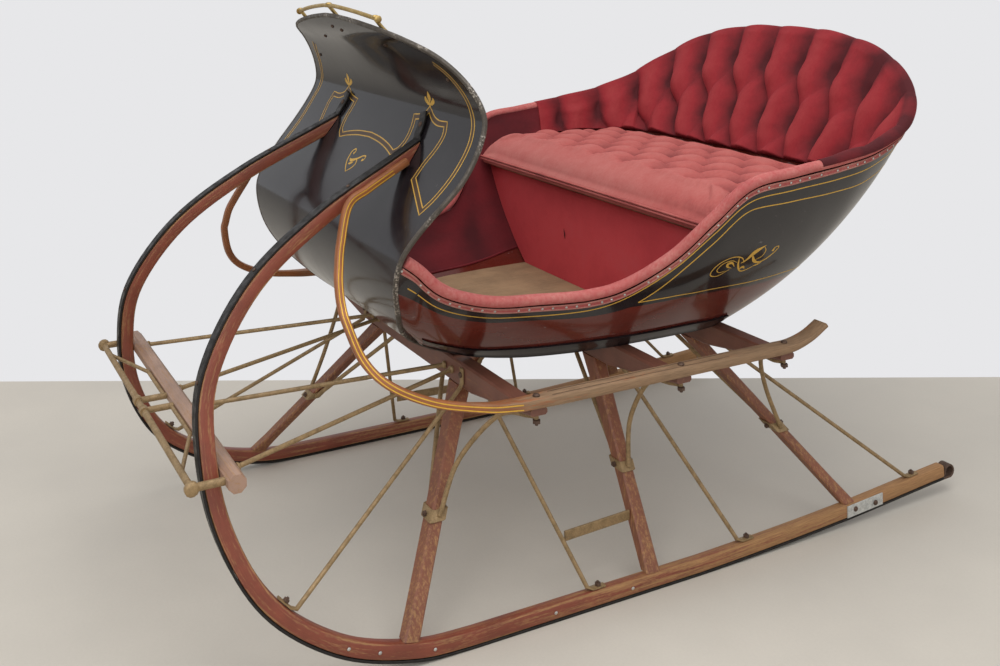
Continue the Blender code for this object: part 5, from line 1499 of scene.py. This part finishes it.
class SLEIGH_OT_dash(bpy.types.Operator):
    """Makes the swan-necked dash with its edge bead, its striping and its brass rail"""
    bl_idname = "sleigh.dash"
    bl_label = "Dash"

    def execute(self, context):
        front, back = [], []
        for y, z, half in DASH_ROWS:
            front.append([Vector((half * (2 * k / 48 - 1), y, z)) for k in range(49)])
            back.append([p - self.normal(z) * DASH_THICKNESS for p in front[-1]])
        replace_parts(shell("dash_sheet", front, back, "black"), "dash")
        self.bead()
        self.band()
        self.bolts_and_rail()
        return {"FINISHED"}

    def normal(self, z):
        """The way that the dash looks at a height, also at its very ends."""
        return dash_face(0.0, min(max(z, DASH_ROWS[0][1] + 3 * MM), DASH_ROWS[-1][1] - 3 * MM))[1]

    def bead(self):
        """A half round iron bead along the edge, its black paint chipped."""
        edge = [Vector((half, y, z)) for y, z, half in DASH_ROWS]
        loop = edge + [place_on(-1.0, point) for point in reversed(edge)]
        rings = []
        for i, place in enumerate(loop):
            normal = self.normal(place.z)
            side = normal.cross(heading_at(loop, i)).normalized()
            centre = place - normal * DASH_THICKNESS / 2
            rings.append([centre + side * u + normal * v for u, v in circle(BEAD_RADIUS, 8)])
        loft("dash_bead", rings, "bead")

    def band(self):
        """The dark band between two gold stripes, with its lilies and the leaf below it."""
        heights = [z for _, z, _ in DASH_ROWS]
        lengths = distances([(0.0, y, z) for y, z, _ in DASH_ROWS])

        def up_profile(z):
            return read(list(zip(heights, lengths)), z)

        def place(x, s):
            return dash_face(x, read(list(zip(lengths, heights)), s))

        half = sizes().band_half
        clear = 1.2 * half
        parts = [spline([(x, up_profile(z)) for x, z in segment], 8) for segment in BAND]
        centre = [parts[0][0]]
        for part in parts:
            centre += [p for p in part[1:-1] if min(math.dist(p, part[0]),
                                                    math.dist(p, part[-1])) > clear]
            centre.append(part[-1])
        whole = [(-x, s) for x, s in reversed(centre[1:])] + centre
        edges = {}
        for name, distance in (("upper", half), ("lower", -half)):
            edges[name] = offset_line(whole, distance)
            placed = [place(p.x, p.y) for p in edges[name]]
            stroke("dash_stripe_" + name, *zip(*placed), sizes().stripe_width, "gold")
        rings = []
        for a, b in zip(edges["upper"], edges["lower"]):
            (p, n), (q, m) = place(a.x, a.y), place(b.x, b.y)
            n, m = n * 0.12 * MM, m * 0.12 * MM
            rings.append([p + n, q + m, q - m, p - n])
        loft("dash_band", rings, "band")
        for label, side in SIDES:
            base = up_profile(0.971) + half
            for number, (path, widths) in enumerate(LILY):
                paint_path(path, [w * 1.7 for w in widths],
                           lambda a, b: place(side * (0.2275 + 2.0 * a * MM), base + 1.1 * b * MM),
                           "dash_lily_%s_%d" % (label, number))
        base = up_profile(0.838)
        for number, (path, widths) in enumerate(LEAF):
            paint_path(path, [w * 1.8 for w in widths],
                       lambda a, b: place(1.37 * a * MM, base + 1.25 * b * MM),
                       "dash_leaf_%d" % number)

    def bolts_and_rail(self):
        """The brass rail on its three posts, and the bolt heads of the dash."""
        route = []
        for k in range(41):
            x = RAIL_HALF_SPAN * (1 - 2 * k / 40)
            y, z = dash_top(x)
            route.append((x, y, z + RAIL_STAND))
        parts = [sweep("tube", route, circle(RAIL_TUBE_RADIUS), "brass", Z_AXIS)]
        radius = RAIL_TUBE_RADIUS * 0.9
        for x in (RAIL_HALF_SPAN * 0.96, 0.0, -RAIL_HALF_SPAN * 0.96):
            y, z = dash_top(x)
            low, _, thick = dash_at(z - RAIL_STAND)
            foot = (x, low + thick + radius * 2, z - RAIL_STAND)
            bend = (x, y + DASH_THICKNESS * 1.5 + radius * 2, z + GAP)
            post = spline([foot, bend, (x, y, z + RAIL_STAND)], 6)
            parts.append(sweep("post", post, circle(radius), "brass"))
            parts.append(bolt("ball", (x, y, z + RAIL_STAND + 2 * MM), Z_AXIS, "brass", 7.5 * MM))
        for x in (RAIL_HALF_SPAN, -RAIL_HALF_SPAN):
            y, z = dash_top(x)
            parts.append(bolt("finial", (x + math.copysign(2 * MM, x), y, z + RAIL_STAND),
                              (x, 0.0, 0.0), "brass", 8 * MM))
        merge("dash_top_rail", parts, "dash_rail")
        for number, (x, z) in enumerate(DASH_BOLTS):
            bolt("dash_bolt_%d" % number, *dash_face(x, z), "bolt", 4.2 * MM)
        for label, side in SIDES:
            for number, height in enumerate(STRAP_BOLTS):
                point, normal = dash_face(side * runner_x(height), height,
                                          SHOE_THICKNESS + 1.5 * MM)
                bolt("strap_bolt_%s_%d" % (label, number), point, normal, "bolt", 6 * MM)


class SLEIGH_OT_scroll(bpy.types.Operator):
    """Paints the scroll on each side of the tub"""
    bl_idname = "sleigh.scroll"
    bl_label = "Scrolls"

    def execute(self, context):
        for label, side in SIDES:
            for number, (path, widths) in enumerate(SCROLL):
                def place(a, b):
                    y, z = SCROLL_START[0] + a * MM, SCROLL_START[1] + b * MM
                    return wall(*wall_place(y, z, 0.0, (8.0, 0.6)), 0.0, side)
                paint_path(path, widths, place, "scroll_%s_%d" % (label, number))
        return {"FINISHED"}


# Upholstery

def fold(place, lean):
    """0 at the fold on each whole place, 1 on the crest between, which may lean to the next."""
    return math.sin(math.pi * (place % 1.0) ** lean)


def tufting(across, down, pitch, rise, power, lean=1.0, bend=0.0, faint=0.0):
    """Height between 0 in a pleat and 1 on a crown, for buttons set in diamonds.
    Crowns may lean to one side, pleats may bend between buttons, and one way be faint."""
    u, w = across / pitch - 0.5, max(down / rise, 0.0)
    w -= bend * math.sin(2 * math.pi * w) / (2 * math.pi)
    first, second = fold(u + w / 2, lean), fold(u - w / 2, lean)
    return max(first * (faint + (1 - faint) * second), 0.0) ** power


def nearest_button(across, down, pitch, rise, rows):
    """Distance to the closest button of the diamonds."""
    best = 1.0
    for row in range(max(int(down / rise), 0), int(down / rise) + 2):
        if row >= rows:
            continue
        offset = 0.5 if row % 2 == 0 else 0.0
        near = (round(across / pitch - offset) + offset) * pitch
        best = min(best, math.hypot(across - near, down - row * rise))
    return best


FILLING_PRESSURE = 4.0
FILLING_FRAMES = 20


def swell(piece, voxel, cap, held):
    """Fills a closed cover by cloth simulation, held where told, with no point moving past a
    cap. A plain mesh is left."""
    select(piece)
    remesh = piece.modifiers.new("voxels", "REMESH")
    remesh.mode = "VOXEL"
    remesh.voxel_size = voxel
    bpy.ops.object.modifier_apply(modifier=remesh.name)
    mesh = piece.data
    before = [v.co.copy() for v in mesh.vertices]
    group = piece.vertex_groups.new(name="held")
    group.add([v.index for v in mesh.vertices if held(v.co)], 1.0, "REPLACE")
    cloth = piece.modifiers.new("filling", "CLOTH")
    cloth.settings.vertex_group_mass = group.name
    cloth.settings.use_pressure = True
    cloth.settings.uniform_pressure_force = FILLING_PRESSURE
    cloth.settings.effector_weights.gravity = 0.0
    cloth.point_cache.frame_start, cloth.point_cache.frame_end = 1, FILLING_FRAMES
    scene = bpy.context.scene
    for number in range(1, FILLING_FRAMES + 1):
        scene.frame_set(number)
    filled = piece.evaluated_get(bpy.context.evaluated_depsgraph_get())
    after = [v.co.copy() for v in filled.data.vertices]
    piece.modifiers.remove(cloth)
    scene.frame_set(1)
    for vert, old, new in zip(mesh.vertices, before, after):
        move = new - old
        if move.length > cap:
            move *= cap / move.length
        vert.co = old + move
    piece.vertex_groups.remove(group)
    finer = piece.modifiers.new("finer", "SUBSURF")
    finer.levels = finer.render_levels = 1
    bpy.ops.object.modifier_apply(modifier=finer.name)
    mesh.shade_smooth()


def edge_place(station):
    """Centre of the roll over the top edge, its inward and its upward direction."""
    top, normal = wall(station, 1.0, WALL / 2)
    under = wall(station, 0.9, WALL / 2)[0]
    ahead = wall(min(station + 0.1, WALL_STATIONS), 1.0)[0] - wall(station - 0.1, 1.0)[0]
    ahead.normalize()
    rise = top - under
    rise -= ahead * rise.dot(ahead)
    if station >= WALL_STATIONS:
        rise.x = 0.0
    rise.normalize()
    inward = (-normal - rise * (-normal).dot(rise)).normalized()
    return top + rise * (BINDING_RADIUS + BINDING_DROP), inward, rise


def share_at(station, height):
    """The share at which the wall's inner face is so high."""
    return search(0.0, 1.0, lambda share: wall(station, share, WALL)[0].z < height, 20)[0]


UPPER_BUTTONS = 0.990   # height of the back's upper row of buttons
BACK_SUNK = 0.026   # how far the back reaches below the cushion's crown
PIT_RADIUS = 0.018
PIT_SHADE = 0.028   # radius of the pile's shadow round a pit
ROLL_TURN = math.radians(165)   # of the cloth over the top edge


class SLEIGH_OT_seat_back(bpy.types.Operator):
    """Makes the deeply buttoned back that wraps over the top edge from wing to wing"""
    bl_idname = "sleigh.seat_back"
    bl_label = "Tufted back"

    def execute(self, context):
        s = sizes()
        start, end = WING_STATION, 2 * WALL_STATIONS - WING_STATION
        columns, rows, roll = 480, 64, 14
        places = [start + (end - start) * k / columns for k in range(columns + 1)]
        run = distances([wall_round(place, 0.9, WALL)[0] for place in places])
        base = CUSHION_BOTTOM + CUSHION_HEIGHT - BACK_SUNK
        grid_out, grid_in, grid_crown = ([[] for _ in range(rows + roll + 1)] for _ in range(3))

        def add(row, side, out, back, crown):
            grid_out[row].append(place_on(side, out))
            grid_in[row].append(place_on(side, back))
            grid_crown[row].append(crown)

        for place, far in zip(places, run):
            station, side = round_wall(place)
            across = far - run[-1] / 2
            bottom = share_at(station, base)
            wing = smooth((run[-1] / 2 - abs(across)) / 0.10)
            # share toward the near wing, where the top is painted darker
            shaded_near_end = smooth((-across - 0.15) / 0.30)
            lift = wall(station, 1.0, WALL)[0].z
            pits = min(UPPER_BUTTONS, lift - 0.070) if lift > 0.92 else lift - 0.040
            scale = min(max((lift - base) / 0.26, 0.35), 1.0)
            turned = across + s.tuft_shift
            for r in range(rows + 1):
                t = r / rows
                back, normal = wall(station, bottom + (1 - bottom) * t, WALL + SOFT_GAP)
                down = pits - back.z
                height = tufting(turned, down, s.tuft_pitch, s.tuft_rise, 0.50, 1.6, 0.7, 0.36)
                pit = nearest_button(turned, down, s.tuft_pitch, s.tuft_rise, 3)
                full = s.tuft_depth * (1 - 0.55 * smooth((t - 0.6) / 0.4))
                full *= (0.35 + 0.65 * wing) * (0.4 + 0.6 * scale)
                deep = 5 * MM + full * height - 7 * MM * math.exp(-(pit / PIT_RADIUS) ** 2)
                deep += 1.2 * MM * noise.noise(Vector((across, back.z, side)) * 45)
                # Crown colour: painted shade in the pleats and round each pit, a painted highlight
                # on one side of each crown, and painted shade over the upper back, strongest toward
                # the near wing.
                painted_lit_side = (turned / s.tuft_pitch - 0.5 + max(down, 0.0) / s.tuft_rise / 2) % 1.0
                shade = smooth((back.z - 0.90) / 0.14) * (0.12 + 0.60 * shaded_near_end)
                shade += 0.38 * math.exp(-(pit / PIT_SHADE) ** 2)
                add(r, side, back - normal * max(deep, 1.5 * MM), back,
                    height * (0.62 + 0.38 * painted_lit_side) + 0.12 - shade)
            centre, inward, rise = edge_place(station)
            pleat = fold(turned / s.tuft_pitch - 0.5, 1.6) ** 0.6
            for r in range(1, roll + 1):
                angle = ROLL_TURN * r / roll
                turn = inward * math.cos(angle) + rise * math.sin(angle)
                thick = BINDING_RADIUS + 1.5 * MM + 5 * MM * pleat * wing * (1 - 0.8 * r / roll)
                # On the roll: painted shade in the pleats and toward the near wing.
                add(rows + r, side, centre + turn * thick,
                    centre + turn * (BINDING_RADIUS + 0.4 * MM),
                    0.12 + 0.55 * pleat - 0.50 * shaded_near_end)
        piece = shell("tufted_back", grid_out, grid_in, "plush", crease=180, crown=grid_crown)
        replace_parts(piece, "seat_back")
        return {"FINISHED"}


PIPING_RISE = 0.019   # from the cushion's underside to its piping
ROUNDING = (0.065, 0.022, 0.045)   # of the cushion's front, rear and side edges
FIRST_BUTTONS = 0.115   # from its front edge to the first row


class SLEIGH_OT_cushion(bpy.types.Operator):
    """Makes the worn, shallow buttoned seat cushion with its boxing and piping"""
    bl_idname = "sleigh.cushion"
    bl_label = "Cushion"

    def execute(self, context):
        depth = WALL + SOFT_GAP + LINING
        piping = CUSHION_BOTTOM + PIPING_RISE
        rows, columns = 110, 200
        guess = (6.5, 0.5)
        widths, top, bottom = [], [], []
        for r in range(rows + 1):
            y = CUSHION_FRONT_Y + (CUSHION_REAR_Y - CUSHION_FRONT_Y) * r / rows
            guess = wall_place(y, CUSHION_BOTTOM + 4 * MM, depth, guess)
            half = wall(*guess, depth)[0].x - 2 * SOFT_GAP
            widths.append((y, half))
            line, low = [], []
            for k in range(columns + 1):
                c = 2 * k / columns - 1
                c = math.copysign(1 - (1 - abs(c)) ** 1.25, c)
                x = half * c
                dome = 1.0
                gaps = (y - CUSHION_FRONT_Y, CUSHION_REAR_Y - y, half * (1 - abs(c)))
                for gap, radius in zip(gaps, ROUNDING):
                    g = min(gap / radius, 1.0)
                    dome *= math.sqrt(max(1 - (1 - g) ** 2, 0.0))
                rise = (CUSHION_HEIGHT - PIPING_RISE - 7 * MM) * dome
                rise += 6 * MM * (1 - (x / half) ** 2) * smooth((y - CUSHION_FRONT_Y) / 0.1)
                line.append(Vector((x, y, piping + rise)))
                low.append(Vector((x * 0.995, y + 2 * MM * (1 - 2 * r / rows), CUSHION_BOTTOM)))
            top.append(line)
            bottom.append(low)
        piece = shell("seat_cushion_cover", top, bottom, "cushion", crease=60)
        swell(piece, 6 * MM, 9 * MM, lambda co: co.z < piping + 4 * MM)
        self.tufts(piece, widths, piping)
        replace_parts(piece, "seat_cushion")
        for number, z in enumerate((piping + 1 * MM, piping - 6 * MM)):
            route = [(widths[0][1] * (2 * k / 60 - 1) * 0.999, CUSHION_FRONT_Y - 1.0 * MM, z)
                     for k in range(61)]
            cord = sweep("cushion_piping_%d" % number, route, circle(2.6 * MM), "cushion",
                         Z_AXIS, crown=0.6)
        return {"FINISHED"}

    def tufts(self, piece, widths, piping):
        """Pulls the cover down into its rows of buttons, behind a plain gathered border."""
        s = sizes()
        shift = settled()
        first_row = CUSHION_FRONT_Y + FIRST_BUTTONS
        crown = piece.data.attributes.new("crown", "FLOAT", "POINT")
        for vert, mark in zip(piece.data.vertices, crown.data):
            x, y = vert.co.x, vert.co.y - shift
            side_gap = read(widths, y) - abs(x)
            down = y - first_row
            ahead = smooth(-down / 0.050)
            height = tufting(-x, down, s.biscuit_pitch, s.biscuit_rows, 0.60, 1.0, 0.5, 0.40)
            height += (1 - height) * ahead
            inside = smooth((side_gap - 0.030) / 0.030)
            inside *= smooth((CUSHION_REAR_Y - y - 0.02) / 0.03)
            height = 1 - (1 - height) * inside
            drop = s.biscuit_depth * (1 - height)
            drop += 1.8 * MM * abs(math.sin(math.pi * x / 0.021)) * ahead * (1 - ahead) * 4
            drop -= 1.5 * MM * noise.noise(Vector((x, y, 0.0)) * 24)
            vert.co.z -= drop * smooth((vert.co.z - piping - 8 * MM) / 0.03)
            # Crown colour: painted shade in the pits and pleats; along the front edge, painted
            # shade toward the near side and a little painted light toward the far side.
            front = 1 - smooth((y - CUSHION_FRONT_Y) / 0.07)
            mark.value = 0.02 + 0.80 * height + front * (0.12 - 0.38 * smooth((x - 0.05) / 0.35))


TEAR = (-0.111, 0.593)   # top of the tear in the cloth under the seat, across and up


class SLEIGH_OT_linings(bpy.types.Operator):
    """Makes the velvet linings of the sides, their piping and the cloth under the seat"""
    bl_idname = "sleigh.linings"
    bl_label = "Linings"

    def execute(self, context):
        for label, side in SIDES:
            outer, inner, crown = [], [], []
            for r in range(32):
                share = 0.13 + 0.87 * min(r / 30, 1.0)
                for grid in (outer, inner, crown):
                    grid.append([])
                for k in range(121):
                    station = 0.06 + (WING_STATION + 0.15 - 0.06) * k / 120
                    slack = noise.noise(Vector((station * 0.6, share * 3, 4.0)))
                    puff = (LINING * 0.6 + 1.6 * MM * slack) * min(1.0, 4 * (share - 0.10))
                    near = wall(station, share, WALL + SOFT_GAP + puff, side)[0]
                    far = wall(station, share, WALL + SOFT_GAP / 2, side)[0]
                    if r == 31:   # tucked up beside the roll
                        near, far = near + Z_AXIS * 5 * MM, far + Z_AXIS * 1.5 * MM
                    outer[r].append(near)
                    inner[r].append(far)
                    worn = noise.noise(Vector((station * 0.8, share * 2, 9.0)))
                    crown[r].append(0.3 + 0.5 * worn)
            piece = shell("side_lining_" + label, outer, inner, "lining", crease=60, crown=crown)
            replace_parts(piece, "lining_" + label)
            cord = sweep("lining_piping_" + label, outer[0], circle(3 * MM), "lining",
                         Z_AXIS, crown=0.5)
        self.riser()
        return {"FINISHED"}

    def riser(self):
        """The smooth cloth under the seat, with its tear drawn as a dark strip of painted shade."""
        depth = WALL + SOFT_GAP + LINING * 0.7
        low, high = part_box("seat_riser")
        front, back, crown = [], [], []
        guess = (6.5, 0.2)
        for r in range(25):
            z = low[2] + (high[2] - low[2]) * r / 24
            guess = wall_place(RISER_Y, z, depth, guess)
            half = wall(*guess, depth)[0].x
            xs = [half * (2 * k / 80 - 1) for k in range(81)]
            front.append([Vector((x, RISER_Y - 1.5 * MM + 1.2 * MM * noise.noise(
                Vector((x * 9, 1.0, z * 5))), z)) for x in xs])
            back.append([Vector((x, RISER_Y + 0.010, z)) for x in xs])
            crown.append([0.55 + 0.4 * noise.noise(Vector((x * 6, 2.0, z * 8))) for x in xs])
        # The tear is a dark strip of painted shade on the cloth.
        tear = [Vector((TEAR[0] + lean * MM, RISER_Y - 3.2 * MM, TEAR[1] - down * MM))
                for down, lean in ((0, 0), (6, 1), (12, 3), (18, 3), (24, 5))]
        stroke("riser_tear", tear, [-Y_AXIS] * 5, [w * MM for w in (0.6, 3, 4, 3, 0.6)], "tear")
        piece = shell("riser_cloth", front, back, "riser", crease=60, crown=crown)
        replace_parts(piece, "seat_riser")


CORD_RADIUS = 1.9 * MM
CORD_DROPS = (1.5, 11.0)   # of the two cords below the top edge, mm
# Corners of the gimp's strip: below the top edge and off the wall, mm
GIMP = ((1.0, 0.3), (1.0, 2.2), (11.5, 2.0), (11.5, 0.3))


class SLEIGH_OT_binding(bpy.types.Operator):
    """Makes the velvet roll over the top edge, its corded gimp and the tacks along it"""
    bl_idname = "sleigh.binding"
    bl_label = "Binding"

    def execute(self, context):
        count = 640
        rings, gimp, cords, tack_places = [], [], [[], []], []
        for k in range(count + 1):
            place = 0.05 + (2 * WALL_STATIONS - 0.1) * k / count
            station, side = round_wall(place)
            centre, inward, rise = edge_place(station)
            ring = []
            for x, y in circle(1.0, 16, 0.0):
                lump = 1 + 0.05 * noise.noise(Vector((place * 2.2, x, y)))
                turn = (inward * x + rise * y) * BINDING_RADIUS * lump
                ring.append(place_on(side, centre + turn))
            rings.append(ring)
            tall = (wall(station, 1.0)[0] - wall(station, 0.9)[0]).length * 10

            def below(drop, lift):
                return wall(station, 1.0 - drop * MM / tall, -lift * MM, side)

            for cord, drop in zip(cords, CORD_DROPS):
                cord.append(below(drop, 1.8))
            gimp.append([below(drop, lift)[0] for drop, lift in GIMP])
            tack_places.append(below(6.2, 2.2))
        roll = loft("binding_roll", rings, "binding", crease=180, crown=0.55)
        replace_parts(roll, "binding")
        strip = loft("binding_gimp", gimp, "binding", crease=60, crown=0.3)
        for number, line in enumerate(cords):
            rings, points = [], [point for point, _ in line]
            for i, (point, normal) in enumerate(line):
                across = normal.cross(heading_at(points, i))
                rings.append([point + normal * v + across * u for u, v in circle(CORD_RADIUS, 6)])
            cord = loft("binding_cord_%d" % number, rings, "gimp", crease=180, crown=0.6)
        self.tacks(tack_places)
        return {"FINISHED"}

    def tacks(self, places):
        """One tack head is modelled, and copied along the binding."""
        s = sizes()
        pattern_piece = bolt("tack_pattern", (0.0, -settled(), 0.0), Z_AXIS, "tack", s.tack_radius)
        template = pattern_piece.data.copy()
        bpy.data.objects.remove(pattern_piece)
        bm = bmesh.new()
        due = 0.0
        run = distances([p for p, _ in places])
        for far, (point, normal) in zip(run, places):
            if far < due:
                continue
            due += s.tack_spacing * (1 + 0.18 * noise.noise(Vector((far * 31, 0.0, 0.0))))
            if noise.noise(Vector((far * 17, 5.0, 0.0))) > 0.42:
                continue
            before = len(bm.verts)
            bm.from_mesh(template)
            bm.verts.ensure_lookup_table()
            placed = Matrix.Translation(point) @ normal.to_track_quat("Z", "Y").to_matrix().to_4x4()
            bmesh.ops.transform(bm, matrix=placed, verts=bm.verts[before:])
        put("binding_tacks", bm, "tack", 30.0)


class SLEIGH_OT_floor(bpy.types.Operator):
    """Finishes the boards of the floor and the seat"""
    bl_idname = "sleigh.floor"
    bl_label = "Floor boards"

    def execute(self, context):
        paint("boards", "floor", "seat_board")
        return {"FINISHED"}


OPERATORS = (
    SLEIGH_OT_stage, SLEIGH_OT_runners, SLEIGH_OT_knees, SLEIGH_OT_stays, SLEIGH_OT_draught,
    SLEIGH_OT_fenders, SLEIGH_OT_small_irons, SLEIGH_OT_tub, SLEIGH_OT_dash, SLEIGH_OT_scroll,
    SLEIGH_OT_floor, SLEIGH_OT_linings, SLEIGH_OT_seat_back, SLEIGH_OT_cushion, SLEIGH_OT_binding)


class SLEIGH_PT_panel(bpy.types.Panel):
    """Lists the sleigh's pieces, sizes and colours"""
    bl_idname = "SLEIGH_PT_panel"
    bl_label = "Horse drawn sleigh"
    bl_space_type = "VIEW_3D"
    bl_region_type = "UI"
    bl_category = "Sleigh"

    def draw(self, context):
        for operator in OPERATORS:
            self.layout.operator(operator.bl_idname)
        for group in (context.scene.sleigh_sizes, context.scene.sleigh_colours):
            for key in group.__annotations__:
                self.layout.prop(group, key)


CLASSES = (SleighSizes, SleighColours, *OPERATORS, SLEIGH_PT_panel)


def register():
    for cls in CLASSES:
        bpy.utils.register_class(cls)
    bpy.types.Scene.sleigh_sizes = bpy.props.PointerProperty(type=SleighSizes)
    bpy.types.Scene.sleigh_colours = bpy.props.PointerProperty(type=SleighColours)


def unregister():
    del bpy.types.Scene.sleigh_colours
    del bpy.types.Scene.sleigh_sizes
    for cls in reversed(CLASSES):
        bpy.utils.unregister_class(cls)


def plain(box):
    return [[float(v) for v in corner] for corner in box]


def main():
    register()
    before = plain(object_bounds())
    MATS.update(make_materials())
    for operator in OPERATORS:
        group, name = operator.bl_idname.split(".")
        getattr(getattr(bpy.ops, group), name)()
    plain(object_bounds())


if __name__ == "__main__":
    main()
